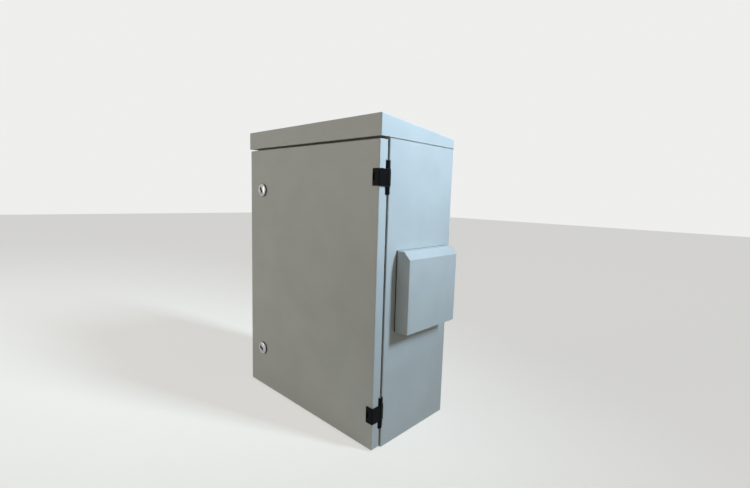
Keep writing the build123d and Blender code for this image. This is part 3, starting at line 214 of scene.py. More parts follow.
class BoxFittings(bpy.types.PropertyGroup):
    """Sizes of the joint under the roof, the hinge pockets, the fan guard and the terminals."""

    door_top_drop: length_property("Door top drop", "How far the door's top edge is lowered", 2.0)
    door_top_band: length_property("Door top band", "Height of the band of the door that is lowered", 6.0)
    pocket_width: length_property("Pocket width", "Width of the pocket in the front arm of a hinge", 4.6)
    pocket_height: length_property("Pocket height", "Height of that pocket", 12.4)
    pocket_depth: length_property("Pocket depth", "Depth of that pocket", 2.0)
    pocket_margin: length_property("Pocket margin", "Distance of that pocket from the arm's edge", 1.9)
    guard_wire: length_property("Guard wire", "Radius of the fan guard's wire", 0.85)
    guard_ring: length_property("Guard ring", "Radius of the smallest ring, and step to the next one", 13.25)
    guard_eye: length_property("Guard eye", "Radius of the eyes under the guard's screws", 3.4)
    guard_eye_distance: length_property("Guard eye distance", "Distance of the eyes from the fan's axis", 74.25)
    well_radius: length_property("Terminal well", "Radius of the screw wells of the breakers", 3.3)
    well_depth: length_property("Terminal well depth", "Depth of the screw wells of the breakers", 8.0)
    clamp_screw: length_property("Clamp screw", "Thread radius of the breakers' clamp screws", 1.5)


class BoxStage(bpy.types.PropertyGroup):
    """Camera, floor and lamps."""

    camera_place: FloatVectorProperty(
        name="Camera place", description="Where the photograph was taken from", unit="LENGTH", size=3,
        default=(0.67717, -0.60939, 0.46146),
    )
    camera_turn: FloatVectorProperty(
        name="Camera turn", description="Yaw from the wall's direction, pitch above the horizon and roll",
        subtype="EULER", unit="ROTATION", size=3, default=(0.7566, -0.1169, 0.0295),
    )
    camera_lens: FloatProperty(name="Lens", description="Focal length in millimetres", default=19.49, min=1)
    floor_colour: colour_property("Floor", "Plain pale floor", (0.62, 0.56, 0.45))
    floor_glow: colour_property("Floor glow", "What the floor adds where it is seen", (0.53, 0.537, 0.541))
    floor_width: FloatProperty(name="Floor width", description="Width of the floor", default=16, unit="LENGTH")
    backdrop_colour: colour_property("Backdrop", "Plain pale background", (0.86, 0.86, 0.85))
    room_colour: colour_property("Room colour", "Tint of the light from all round", (0.98, 0.98, 1.0))
    room_strength: FloatProperty(name="Room light", description="Light from all round", default=0.19, min=0)
    window_power: FloatProperty(
        name="Window light", description="Tall cool lamp on the hinge side", default=4.75, min=0, unit="POWER"
    )
    front_power: FloatProperty(
        name="Front light", description="Weak warm lamp in front", default=11.5, min=0, unit="POWER"
    )


# Shader graphs

class Field:
    """A socket in an expression. Each operator adds its Math node."""

    def __init__(self, finish, socket):
        self.finish = finish
        self.socket = socket

    def joined(self, operation, *values):
        return self.finish.node("ShaderNodeMath", {"operation": operation}, dict(enumerate(values)))

    def __add__(self, other):
        return self.joined("ADD", self, other)

    __radd__ = __add__

    def __sub__(self, other):
        return self.joined("SUBTRACT", self, other)

    def __rsub__(self, other):
        return self.joined("SUBTRACT", other, self)

    def __mul__(self, other):
        return self.joined("MULTIPLY", self, other)

    __rmul__ = __mul__

    def above(self, edge, softness):
        """Rises from 0 to 1 round an edge."""
        return self.finish.node(
            "ShaderNodeMapRange",
            {"interpolation_type": "SMOOTHSTEP", "clamp": True},
            {"Value": self, "From Min": edge - softness, "From Max": edge + softness},
        )


SEEN_PATHS = ("Is Camera Ray", "Is Glossy Ray", "Is Transmission Ray")


class Graph:
    """Node tree of a material or of the world."""

    def __init__(self, owner):
        owner.use_nodes = True
        self.tree = owner.node_tree
        self.tree.nodes.clear()

    def node(self, kind, settings=None, sockets=None, output=0):
        """Adds a node, sets it, fills its sockets and gives one of its outputs."""
        node = self.tree.nodes.new(kind)
        for name, value in (settings or {}).items():
            setattr(node, name, value)
        for name, value in (sockets or {}).items():
            if isinstance(value, Field):
                self.tree.links.new(value.socket, node.inputs[name])
            else:
                node.inputs[name].default_value = value
        return Field(self, node.outputs[output]) if len(node.outputs) else None

    def seen(self):
        """1 where the camera looks, straight or by a reflection or through glass, and 0 for other light."""
        paths = [self.node("ShaderNodeLightPath", output=name) for name in SEEN_PATHS]
        return paths[0] + paths[1] + paths[2]


class Finish(Graph):
    """One material."""

    def __init__(self, slot):
        self.material = bpy.data.materials.new(f"{slot}_finish")
        super().__init__(self.material)

    def place(self, stretch=(1, 1, 1)):
        """Object coordinates in metres, stretched per axis."""
        points = self.node("ShaderNodeTexCoord", output="Object")
        return self.node("ShaderNodeMapping", None, {"Vector": points, "Scale": stretch})

    def noise(self, size, detail=2.0, roughness=0.5, stretch=(1, 1, 1)):
        """Noise from 0 to 1 whose features are about a size apart."""
        sockets = {"Vector": self.place(stretch), "Scale": 1 / size, "Detail": detail, "Roughness": roughness}
        return self.node("ShaderNodeTexNoise", None, sockets)

    def crystals(self, size):
        """Cells of about a size, each with its own colour."""
        return self.node("ShaderNodeTexVoronoi", None, {"Vector": self.place(), "Scale": 1 / size}, "Color")

    def mixed(self, factor, first, second):
        """Colour between two colours."""
        ends = [value if isinstance(value, Field) else (*value, 1) for value in (first, second)]
        return self.node("ShaderNodeMix", {"data_type": "RGBA"}, {0: factor, 6: ends[0], 7: ends[1]}, 2)

    def bump(self, height, depth):
        return self.node("ShaderNodeBump", None, {"Height": height, "Distance": depth, "Strength": 1.0})

    def surface(self, colour, roughness, normal=None, metallic=0.0, **constants):
        """Principled surface. Constants are set on its own sockets."""
        if not isinstance(colour, Field):
            colour = (*colour, 1)
        sockets = {"Base Color": colour, "Roughness": roughness, "Metallic": metallic}
        if normal:
            sockets["Normal"] = normal
        sockets.update({name.replace("_", " "): value for name, value in constants.items()})
        shader = self.node("ShaderNodeBsdfPrincipled", None, sockets)
        self.node("ShaderNodeOutputMaterial", None, {"Surface": shader})
        return self.material


def scaled(colour, factor):
    return tuple(min(1, part * factor) for part in colour)


# Finishes, one function for each material slot

def painted_steel(colours, surface):
    """Powder coat: fine orange peel, a soft mottle and a slightly thinner coat in broad patches."""
    finish = Finish("painted_steel")
    peel = finish.noise(surface.peel_size, detail=1.5, roughness=0.4)
    fine = finish.noise(surface.peel_size / 3.5, detail=1.0)
    mottle = finish.noise(surface.mottle_size, detail=4, roughness=0.55)
    speck = finish.noise(surface.speck_size, detail=2, roughness=0.7)
    patches = mottle.above(0.5, 0.22)
    colour = finish.mixed(patches, tuple(colours.paint_shade), tuple(colours.paint))
    colour = finish.mixed(speck.above(0.56, 0.12) * 0.10, colour, scaled(colours.paint, 0.86))
    height = peel * 0.8 + fine * 0.2
    roughness = (mottle - 0.5) * 0.10 + (speck - 0.5) * 0.12 + surface.paint_roughness
    return finish.surface(colour, roughness, finish.bump(height, surface.peel_depth), IOR=1.5)


def zinc_steel(colours, surface):
    """Zinc plate: faint crystals, rolling lines and a slightly uneven sheen."""
    finish = Finish("zinc_steel")
    shade = finish.node("ShaderNodeRGBToBW", None, {"Color": finish.crystals(surface.spangle_size)})
    lines = finish.noise(surface.rolling_size, detail=3, stretch=(1, 1, 0.06))
    tone = shade * 0.5 + lines * 0.5
    colour = finish.mixed(tone, scaled(colours.zinc, 0.80), scaled(colours.zinc, 1.12))
    normal = finish.bump(lines, surface.rolling_depth)
    return finish.surface(colour, tone * 0.16 + 0.28, normal, metallic=1.0)


def chrome(colours, surface):
    """Polished chrome with faint handling marks."""
    finish = Finish("chrome")
    marks = finish.noise(surface.mark_size, detail=4, roughness=0.7)
    colour = finish.mixed(marks, scaled(colours.chrome, 0.92), scaled(colours.chrome, 1.06))
    return finish.surface(colour, marks.above(0.62, 0.2) * 0.12 + 0.06, metallic=1.0)


def black_diecast(colours, surface):
    """Black coat on die-cast zinc, slightly greyer where hands rub it."""
    finish = Finish("black_diecast")
    grain = finish.noise(surface.cast_size, detail=2)
    rubbed = finish.noise(surface.rub_size, detail=3).above(0.58, 0.15)
    colour = finish.mixed(rubbed, tuple(colours.diecast), scaled(colours.diecast, 1.8))
    return finish.surface(colour, rubbed * -0.08 + 0.38, finish.bump(grain, surface.cast_depth), IOR=1.13)


def black_rubber(colours, surface):
    """Matt rubber with a fine skin."""
    finish = Finish("black_rubber")
    skin = finish.noise(surface.skin_size, detail=3, roughness=0.6)
    bloom = finish.noise(surface.bloom_size, detail=3)
    colour = finish.mixed(bloom, tuple(colours.rubber), scaled(colours.rubber, 2.0))
    return finish.surface(colour, skin * 0.2 + 0.68, finish.bump(skin, surface.skin_depth), IOR=1.3)


def moulded_plastic(name, colour, roughness, surface):
    """Moulded plastic with an etched grain and a faint flow mottle."""
    finish = Finish(name)
    grain = finish.noise(surface.grain_size, detail=2, roughness=0.6)
    flow = finish.noise(surface.flow_size, detail=2)
    base = finish.mixed(flow, scaled(colour, 0.93), scaled(colour, 1.05))
    sheen = grain * 0.12 + flow * 0.06 + roughness
    return finish.surface(base, sheen, finish.bump(grain, surface.grain_depth))


def filter_fleece(colours, surface):
    """Coarse white fleece of tangled fibres."""
    finish = Finish("filter_fleece")
    fibres = finish.noise(surface.fibre_size, detail=5, roughness=0.75)
    strands = finish.noise(surface.strand_size, detail=3, stretch=(1, 0.25, 1))
    tangle = fibres * 0.6 + strands * 0.4
    dark = scaled(colours.fleece, 0.55)
    light = scaled(colours.fleece, 1.15)
    colour = finish.mixed(tangle.above(0.5, 0.2), dark, light)
    return finish.surface(colour, 0.92, finish.bump(tangle, surface.fleece_depth))


def brass(colours, surface):
    """Drawn brass with lines along the bar and light tarnish."""
    finish = Finish("brass")
    lines = finish.noise(surface.drawing_size, detail=2, stretch=(0.05, 1, 1))
    tarnish = finish.noise(surface.tarnish_size, detail=4).above(0.58, 0.2)
    colour = finish.mixed(tarnish, tuple(colours.brass), scaled(colours.brass, 0.72))
    roughness = lines * 0.10 + tarnish * 0.15 + 0.22
    return finish.surface(colour, roughness, finish.bump(lines, surface.drawing_depth), metallic=1.0)


PLASTIC_ROUGHNESS = {"black_plastic": 0.42, "grey_plastic": 0.45, "white_plastic": 0.36, "blue_plastic": 0.34}


def make_finishes(colours, surface):
    """Every finish by its material slot."""
    finishes = {
        "painted_steel": painted_steel(colours, surface),
        "zinc_steel": zinc_steel(colours, surface),
        "chrome": chrome(colours, surface),
        "black_diecast": black_diecast(colours, surface),
        "black_rubber": black_rubber(colours, surface),
        "filter_fleece": filter_fleece(colours, surface),
        "brass": brass(colours, surface),
    }
    for name, roughness in PLASTIC_ROUGHNESS.items():
        finishes[name] = moulded_plastic(name, tuple(getattr(colours, name)), roughness, surface)
    return finishes


# Pieces

slot_of = {row["node"]: row["material_slot"] for row in frame["record"]["subparts"]}


def finish_of(slot):
    return bpy.data.materials[f"{slot}_finish"]


def select_only(*pieces):
    bpy.ops.object.select_all(action="DESELECT")
    for piece in pieces:
        piece.select_set(True)
    bpy.context.view_layer.objects.active = pieces[0]


@contextmanager
def editing(piece):
    """Edit mode on one piece."""
    select_only(piece)
    bpy.ops.object.mode_set(mode="EDIT")
    yield
    bpy.ops.object.mode_set(mode="OBJECT")


def modified(piece, kind, **settings):
    """Adds a modifier and applies it."""
    modifier = piece.modifiers.new(kind.lower(), kind)
    for name, value in settings.items():
        setattr(modifier, name, value)
    select_only(piece)
    bpy.ops.object.modifier_apply(modifier=modifier.name)
    return piece


def smoothed(piece, angle=32):
    select_only(piece)
    bpy.ops.object.shade_smooth_by_angle(angle=radians(angle))
    return piece


def eased(piece, width, segments=2, angle=38):
    """Rounds the sharp edges of a piece and shades it smooth."""
    modified(
        piece, "BEVEL", width=width, segments=segments, limit_method="ANGLE", angle_limit=radians(angle),
        use_clamp_overlap=True,
    )
    smoothed(piece, 50)
    return modified(piece, "WEIGHTED_NORMAL", mode="FACE_AREA", weight=100, keep_sharp=True)


def merged_copy(node, name):
    """Copy of a CAD node with its loose triangles joined and its flat faces made whole."""
    piece = bpy.data.objects.new(name, frame["nodes"][node].data.copy())
    bpy.context.collection.objects.link(piece)
    piece.data.materials.clear()
    with editing(piece):
        bpy.ops.mesh.select_all(action="SELECT")
        bpy.ops.mesh.customdata_custom_splitnormals_clear()
        bpy.ops.mesh.remove_doubles(threshold=CAD_MERGE)
        bpy.ops.mesh.dissolve_limited(angle_limit=radians(0.6))
    return piece


def dressed(piece, slot, body, *nodes):
    """Gives a piece its finish and body, and hides the nodes it stands for."""
    piece.data.materials.clear()
    piece.data.materials.append(finish_of(slot))
    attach(piece, body)
    if nodes:
        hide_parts(*nodes)
    return piece


def body_of(node):
    return frame["nodes"][node]["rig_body"]


def finish_node(node, width, segments=2):
    """Stands an eased copy in for a node, with the finish of its slot."""
    piece = eased(merged_copy(node, f"{node}_finished"), width, segments)
    return dressed(piece, slot_of[node], body_of(node), node)


def paint_node(node):
    """Keeps a node and gives it the finish of its slot."""
    mesh_object = frame["nodes"][node]
    mesh_object.data.materials.clear()
    mesh_object.data.materials.append(finish_of(slot_of[node]))


def joined(name, pieces):
    """One object from several."""
    select_only(*pieces)
    if len(pieces) > 1:
        bpy.ops.object.join()
    piece = bpy.context.view_layer.objects.active
    piece.name = name
    piece.data.name = name
    return piece


def settled(piece):
    """Applies a piece's place, turn and size to its mesh."""
    select_only(piece)
    bpy.ops.object.transform_apply(location=True, rotation=True, scale=True)
    return piece


def copied(master, matrix):
    """Copy of a master piece with its own mesh, put in place."""
    piece = master.copy()
    piece.data = master.data.copy()
    bpy.context.collection.objects.link(piece)
    piece.data.transform(matrix)
    return piece


def removed(piece):
    bpy.data.objects.remove(piece, do_unlink=True)


def turned_to(place, direction):
    """Matrix that stands the Z axis of a master along a direction at a place."""
    return Matrix.Translation(place) @ Vector(direction).to_track_quat("Z", "Y").to_matrix().to_4x4()


def islands(node):
    """Lowest and highest corner of each separate solid of a node, in a fixed order."""
    bpy.ops.object.select_all(action="DESELECT")
    whole = merged_copy(node, "island")
    with editing(whole):
        bpy.ops.mesh.separate(type="LOOSE")
    found = []
    for piece in list(bpy.context.selected_objects):
        corners = [vertex.co for vertex in piece.data.vertices]
        low = Vector(min(corner[axis] for corner in corners) for axis in range(3))
        high = Vector(max(corner[axis] for corner in corners) for axis in range(3))
        found.append((low, high))
        removed(piece)
    return sorted(found, key=lambda box: tuple(round(value, 5) for value in box[0]))


def lathed(name, outline, steps=48):
    """Turned piece about Z: one point is drawn along the outline, as radius and height, and spun."""
    bpy.ops.object.select_all(action="DESELECT")
    bpy.ops.mesh.primitive_plane_add(size=MILLIMETRE)
    piece = bpy.context.object
    piece.name = name
    bpy.ops.object.mode_set(mode="EDIT")
    bpy.ops.mesh.select_all(action="SELECT")
    bpy.ops.mesh.merge(type="CENTER")
    bpy.ops.transform.translate(value=(outline[0][0], 0, outline[0][1]))
    for (radius, height), (next_radius, next_height) in zip(outline, outline[1:]):
        step = (next_radius - radius, 0, next_height - height)
        bpy.ops.mesh.extrude_vertices_move(TRANSFORM_OT_translate={"value": step})
    bpy.ops.mesh.select_all(action="SELECT")
    bpy.ops.mesh.spin(steps=steps, angle=tau, center=(0, 0, 0), axis=(0, 0, 1))
    bpy.ops.mesh.select_all(action="SELECT")
    bpy.ops.mesh.remove_doubles(threshold=SPIN_MERGE)
    bpy.ops.mesh.normals_make_consistent(inside=False)
    bpy.ops.object.mode_set(mode="OBJECT")
    return piece


def arc(centre, radius, start, end, count=6):
    """Points of an arc, as radius and height, with angles in degrees."""
    angles = [radians(start + (end - start) * index / count) for index in range(count + 1)]
    return [(centre[0] + radius * cos(angle), centre[1] + radius * sin(angle)) for angle in angles]


def block(name, low, high):
    """Box between two corners, for a part that is shaped further or cuts another."""
    bpy.ops.object.select_all(action="DESELECT")
    middle = [(a + b) / 2 for a, b in zip(low, high)]
    bpy.ops.mesh.primitive_cube_add(size=1, location=middle, scale=[b - a for a, b in zip(low, high)])
    bpy.context.object.name = name
    return settled(bpy.context.object)


def cut(piece, *tools):
    """Takes tools out of a piece."""
    for tool in tools:
        modified(piece, "BOOLEAN", operation="DIFFERENCE", solver="EXACT", object=tool)
        removed(tool)
    return piece


# Fasteners

# Radius and height of a pan head over its thread's radius
PAN_RADIUS = 1.9
PAN_HEIGHT = 1.2
# Drop of a nut's chamfer at its rim and width of its flat face, over its width across flats
NUT_CHAMFER = 0.156
NUT_FACE = 0.92
# Thread radius of a nut's bore over its width across flats, for the thin lock nuts and for the others
LOCK_NUT_BORE = 0.408
NUT_BORE = 0.31


def pan_screw_master(radius, length):
    """Pan-head screw with a cross recess. Its seat is at the origin and its head points up."""
    head_radius = PAN_RADIUS * radius
    head_height = PAN_HEIGHT * radius
    side = 0.45 * head_height
    dome = 0.55 * head_height
    angles = [radians(angle) for angle in range(0, 90, 15)]
    crown = [(head_radius * cos(angle), side + dome * sin(angle)) for angle in angles]
    shank = [(0, -length), (0.8 * radius, -length), (radius, 0.3 * radius - length), (radius, 0)]
    screw = lathed("screw_master", shank + [(head_radius, 0)] + crown + [(0, head_height)], steps=28)
    slot = 0.24 * radius
    reach = 0.95 * radius
    low_z = 0.4 * head_height
    high_z = 1.1 * head_height
    cut(screw, block("recess", (-reach, -slot, low_z), (reach, slot, high_z)))
    cut(screw, block("recess", (-slot, -reach, low_z), (slot, reach, high_z)))
    return smoothed(screw, 28)


def fasteners_finished(node, outward_at, made):
    """Stands made fasteners in for a group of them.

    One function gives the way out from each one's place. The other makes a master from its width and
    length, which stands on the origin and points up.
    """
    placed = []
    masters = {}
    for low, high in islands(node):
        middle = (low + high) / 2
        outward = Vector(outward_at(middle))
        along = max(range(3), key=lambda axis: abs(outward[axis]))
        width = min(high[axis] - low[axis] for axis in range(3) if axis != along)
        length = high[along] - low[along]
        key = (round(width, 5), round(length, 5))
        if key not in masters:
            masters[key] = made(width, length)
        placed.append(copied(masters[key], turned_to(middle - outward * length / 2, outward)))
    for master in masters.values():
        removed(master)
    return dressed(joined(f"{node}_finished", placed), slot_of[node], body_of(node), node)


def standing_screw(width, length):
    """Pan-head screw that stands on its tip, from the width of its head and its whole length."""
    radius = width / (2 * PAN_RADIUS)
    shank = length - PAN_HEIGHT * radius
    screw = pan_screw_master(radius, shank)
    screw.data.transform(Matrix.Translation((0, 0, shank)))
    return screw


def nut_of(bore_share):
    """Maker of hexagon nuts whose bore is a share of their width."""
    def made(width, length):
        nut = capped("nut_master", width, length)
        hole = threaded("nut_bore", bore_share * width, -MILLIMETRE, length + MILLIMETRE, 0.1 * width)
        return smoothed(cut(nut, hole), 25)
    return made


def capped(name, across_flats, height):
    """Hexagon about Z from the origin up, with the turned chamfer of a nut on its upper corners."""
    bpy.ops.object.select_all(action="DESELECT")
    corner = across_flats / 3**0.5
    bpy.ops.mesh.primitive_cylinder_add(vertices=6, radius=corner, depth=height, location=(0, 0, height / 2))
    nut = settled(bpy.context.object)
    nut.name = name
    wide = 1.1 * corner
    rim = [(wide, height - NUT_CHAMFER * across_flats), (NUT_FACE * across_flats / 2, height)]
    envelope = lathed("envelope", [(0, 0), (wide, 0), *rim, (0, height)], steps=48)
    modified(nut, "BOOLEAN", operation="INTERSECT", solver="EXACT", object=envelope)
    removed(envelope)
    return nut


def threaded(name, radius, bottom, top, pitch, steps=28):
    """Threaded rod about Z: a row of teeth wound into a helix, with a plain core that closes its ends."""
    count = int((top - bottom) / pitch) - 1
    depth = 0.6 * pitch
    outline = []
    for index in range(count):
        low = bottom + index * pitch
        outline += [(radius - depth, low), (radius, low + 0.45 * pitch), (radius, low + 0.55 * pitch)]
    outline.append((radius - depth, bottom + count * pitch))
    bpy.ops.object.select_all(action="DESELECT")
    bpy.ops.mesh.primitive_plane_add(size=MILLIMETRE)
    teeth = bpy.context.object
    teeth.name = name
    with editing(teeth):
        bpy.ops.mesh.select_all(action="SELECT")
        bpy.ops.mesh.merge(type="CENTER")
        bpy.ops.transform.translate(value=(outline[0][0], 0, outline[0][1]))
        for (near, low), (far, high) in zip(outline, outline[1:]):
            bpy.ops.mesh.extrude_vertices_move(TRANSFORM_OT_translate={"value": (far - near, 0, high - low)})
    modified(
        teeth, "SCREW", axis="Z", angle=tau, screw_offset=pitch, steps=steps, render_steps=steps, iterations=1,
        use_merge_vertices=True, merge_threshold=THREAD_MERGE,
    )
    with editing(teeth):
        bpy.ops.mesh.select_all(action="SELECT")
        bpy.ops.mesh.normals_make_consistent(inside=False)
    inner = radius - 0.8 * depth
    end = radius - 0.9 * depth
    ends = [(0, bottom), (end, bottom)], [(end, top), (0, top)]
    core = lathed("thread_core", ends[0] + [(inner, bottom + pitch), (inner, top - pitch)] + ends[1], steps)
    return joined(name, [teeth, core])


def screws_added(name, places, radius):
    """Short pan-head screws that face the front, seated at places given in metres."""
    master = pan_screw_master(radius, radius)
    placed = [copied(master, turned_to(Vector(place), FORWARD)) for place in places]
    removed(master)
    return dressed(joined(name, placed), "zinc_steel", "housing")


def bored(piece, places, direction, radius, depth):
    """Bores round holes into a piece from places on its surface, given in metres."""
    drill = lathed("drill", [(0, -depth), (radius, -depth), (radius, radius), (0, radius)], 32)
    drills = [copied(drill, turned_to(Vector(place), direction)) for place in places]
    removed(drill)
    return cut(piece, joined("drills", drills))


# Operators

class Step:
    """What every step shares."""

    bl_options = {"REGISTER", "UNDO"}


class BOX_OT_finishes(Step, bpy.types.Operator):
    """Make the materials of the box and give each node the one of its slot"""

    bl_idname = "box.finishes"
    bl_label = "Finishes"

    def execute(self, context):
        make_finishes(context.scene.box_colours, context.scene.box_surface)
        for node in frame["nodes"]:
            paint_node(node)
        return {"FINISHED"}


class BOX_OT_sheet_metal(Step, bpy.types.Operator):
    """Ease the cut edges of the painted sheets and widen the joint under the roof"""

    bl_idname = "box.sheet_metal"
    bl_label = "Sheet metal"

    def execute(self, context):
        edge = context.scene.box_edges.sheet
        for node in ("roof_cap", "door_panel", "housing_shell", "vent_hood_left", "vent_hood_right"):
            sheet = finish_node(node, edge)
            if node == "door_panel":
                self.lower_top(sheet, context.scene.box_fittings)
        return {"FINISHED"}

    def lower_top(self, door, fittings):
        """Lowers the door's top return, which widens the joint under the roof."""
        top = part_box("door_panel")[1].z
        with editing(door):
            bpy.ops.mesh.select_all(action="DESELECT")
        for vertex in door.data.vertices:
            vertex.select = vertex.co.z > top - fittings.door_top_band
        with editing(door):
            bpy.ops.transform.translate(value=(0, 0, -fittings.door_top_drop))


class BOX_OT_hinges(Step, bpy.types.Operator):
    """Round the castings of the hinges and sink the pocket in each front arm"""

    bl_idname = "box.hinges"
    bl_label = "Hinges"

    def execute(self, context):
        edge = context.scene.box_edges.cast
        for place in ("upper", "lower"):
            finish_node(f"hinge_{place}_leaf", edge, 3)
            node = f"hinge_{place}_block"
            casting = merged_copy(node, f"{node}_finished")
            cut(casting, self.pocket(node, context.scene.box_fittings))
            dressed(eased(casting, edge, 3), slot_of[node], body_of(node), node)
        return {"FINISHED"}

    def pocket(self, node, fittings):
        """Upright pocket near the free edge of the front arm, its middle a little above the arm's."""
        low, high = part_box(node)
        left = low.x + fittings.pocket_margin
        bottom = (low.z + high.z) / 2 - 0.42 * fittings.pocket_height
        return block(
            "pocket", (left, low.y - MILLIMETRE, bottom),
            (left + fittings.pocket_width, low.y + fittings.pocket_depth, bottom + fittings.pocket_height),
        )


# Thread of a lock's shank: its turns, and in millimetres their pitch and the first one's end
SHANK_TURNS = 9
SHANK_PITCH = 1.5
SHANK_START = 1.6
# Depth of a keyhole's floor over the depth of its black fill, which is painted shade in the keyhole
SHADE_FILL_SHARE = 8


class BOX_OT_locks(Step, bpy.types.Operator):
    """Turn the chrome lock heads, their seals and their cores, each with a double-bit key pin"""

    bl_idname = "box.locks"
    bl_label = "Locks"

    def execute(self, context):
        locks = context.scene.box_locks
        face_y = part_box("door_panel")[0].y
        heads = []
        seals = []
        for place, key_turn in (("upper", locks.upper_turn), ("lower", locks.lower_turn)):
            node = f"lock_{place}_core"
            low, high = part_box(node)
            middle = (low + high) / 2
            stand = Matrix.Translation((middle.x, face_y, middle.z)) @ FACING_FRONT
            cam_height = face_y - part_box(f"lock_{place}_cam")[0].y
            turn = Matrix.Rotation(key_turn, 4, "Z")
            core = joined(f"{node}_finished", self.core(locks, cam_height, face_y - high.y, turn))
            core.data.transform(stand)
            dressed(core, "chrome", body_of(node), node)
            # Black fill from the keyhole's floor to just below the core's front: painted shade for the
            # keyhole's dark inside
            top = locks.core_front - locks.keyhole_depth
            keyhole_shade_fill = self.keyhole(locks, self.keyhole_floor(locks), top)
            keyhole_shade_fill.name = f"lock_{place}_keyhole"
            keyhole_shade_fill.data.transform(stand @ turn)
            dressed(keyhole_shade_fill, "black_diecast", body_of(node))
            heads.append(self.head(locks))
            heads[-1].data.transform(stand)
            seals.append(self.seal(locks))
            seals[-1].data.transform(stand)
        dressed(joined("lock_heads", heads), "chrome", body_of("lock_housings"), "lock_housings")
        dressed(joined("lock_seals", seals), "black_rubber", body_of("lock_housings"))
        return {"FINISHED"}

    def head(self, locks):
        """Head with a turned groove round its rim, and a threaded shank with two flats."""
        mm = MILLIMETRE
        top = locks.head_height
        bottom = locks.seal_height
        crown = top - 0.7 * mm
        thread = locks.shank_radius
        root = thread - 0.6 * mm
        outline = [(locks.bore_radius, -locks.shank_length), (root, -locks.shank_length)]
        for index in range(SHANK_TURNS):
            low = (SHANK_START + index * SHANK_PITCH) * mm - locks.shank_length
            outline += [(thread, low - 0.8 * mm), (thread, low - 0.6 * mm), (root, low)]
        outline += [(thread, -1.8 * mm), (thread, bottom)]
        outline += [(locks.head_radius - 0.25 * mm, bottom), (locks.head_radius, bottom + 0.25 * mm)]
        bend = (locks.head_radius - locks.shoulder, crown - 0.25 * mm - locks.shoulder)
        outline += arc(bend, locks.shoulder, 0, 86, 8)
        outline += [(locks.rim_radius + 0.9 * mm, crown), (locks.rim_radius + 0.6 * mm, crown - 0.35 * mm)]
        outline += [(locks.rim_radius + 0.3 * mm, crown), (locks.rim_radius + 0.1 * mm, top - 0.15 * mm)]
        outline += [(locks.rim_radius - 0.3 * mm, top), (locks.bore_radius + 0.35 * mm, top)]
        outline += [(locks.bore_radius, top - 0.35 * mm), (locks.bore_radius, -locks.shank_length)]
        head = lathed("lock_head", outline, 72)
        reach = 2 * thread
        flat = locks.shank_flat
        for low_x, high_x in ((-reach, -flat), (flat, reach)):
            cut(head, block("flat", (low_x, -reach, -locks.shank_length - mm), (high_x, reach, -0.02 * mm)))
        return smoothed(head, 35)

    def seal(self, locks):
        """Black ring between the head and the door."""
        ease = 0.35 * MILLIMETRE
        inner = locks.shank_radius + 0.1 * MILLIMETRE
        outer = locks.seal_radius
        top = locks.seal_height
        outline = [(inner, 0), (outer - ease, 0), (outer, ease), (outer, top - ease), (outer - ease, top)]
        return smoothed(lathed("seal", outline + [(inner, top), (inner, 0)], 72), 50)

    def keyhole_floor(self, locks):
        """Height of the keyhole's floor, under its black fill of painted shade."""
        return locks.core_front - SHADE_FILL_SHARE * locks.keyhole_depth

    def keyhole(self, locks, bottom, top):
        """Solid in the shape of the keyhole: two round lobes joined by a neck."""
        outline = [(0, bottom), (locks.lobe_radius, bottom), (locks.lobe_radius, top), (0, top)]
        lobe = lathed("lobe", outline, 28)
        lobes = [copied(lobe, Matrix.Translation((side * locks.lobe_distance, 0, 0))) for side in (-1, 1)]
        removed(lobe)
        half = locks.neck_width / 2
        neck = block("neck", (-locks.lobe_distance, -half, bottom), (locks.lobe_distance, half, top))
        for lobe in lobes:
            modified(neck, "BOOLEAN", operation="UNION", solver="EXACT", object=lobe)
            removed(lobe)
        return neck

    def core(self, locks, cam_height, end_height, turn):
        """Core with a keyhole and its pin in front, a collar and a square for the cam behind."""
        mm = MILLIMETRE
        front = locks.core_front
        back = front - locks.core_length
        outline = [(0, front), (locks.core_radius - 0.4 * mm, front), (locks.core_radius, front - 0.4 * mm)]
        outline += [(locks.core_radius, back), (locks.collar_radius - 0.4 * mm, back)]
        outline += [(locks.collar_radius, back - 0.4 * mm), (locks.collar_radius, cam_height), (0, cam_height)]
        core = lathed("core", outline, 56)
        floor = self.keyhole_floor(locks)
        hole = self.keyhole(locks, floor, front + mm)
        hole.data.transform(turn)
        cut(core, hole)
        tip = front - locks.key_drop
        radius = locks.key_radius
        outline = [(0, floor), (radius, floor), (radius, tip - 0.3 * mm), (radius - 0.3 * mm, tip), (0, tip)]
        pin = lathed("key_pin", outline, 24)
        half = locks.square / 2
        square = block("square", (-half, -half, end_height), (half, half, cam_height))
        return [smoothed(core, 35), smoothed(pin, 35), eased(square, 0.3 * mm)]


class BOX_OT_fasteners(Step, bpy.types.Operator):
    """Put pan-head screws with cross recesses where the plain ones are"""

    bl_idname = "box.fasteners"
    bl_label = "Fasteners"

    def execute(self, context):
        for node, outward in (
            ("hinge_leaf_screws", FORWARD), ("hinge_block_screws", (-1, 0, 0)), ("rail_screws", FORWARD),
            ("equipment_screws", FORWARD), ("gland_screws", (0, 0, 1)),
        ):
            fasteners_finished(node, lambda place: outward, standing_screw)
        fasteners_finished("vent_screws", self.inward, standing_screw)
        fasteners_finished("lock_nuts", lambda place: (0, 1, 0), nut_of(LOCK_NUT_BORE))
        fasteners_finished("plate_nuts", lambda place: FORWARD, nut_of(NUT_BORE))
        fasteners_finished("hood_nuts", self.inward, nut_of(NUT_BORE))
        return {"FINISHED"}

    def inward(self, place):
        """From the nearer side wall to the inside of the box."""
        return (-1 if place.x > 0 else 1, 0, 0)


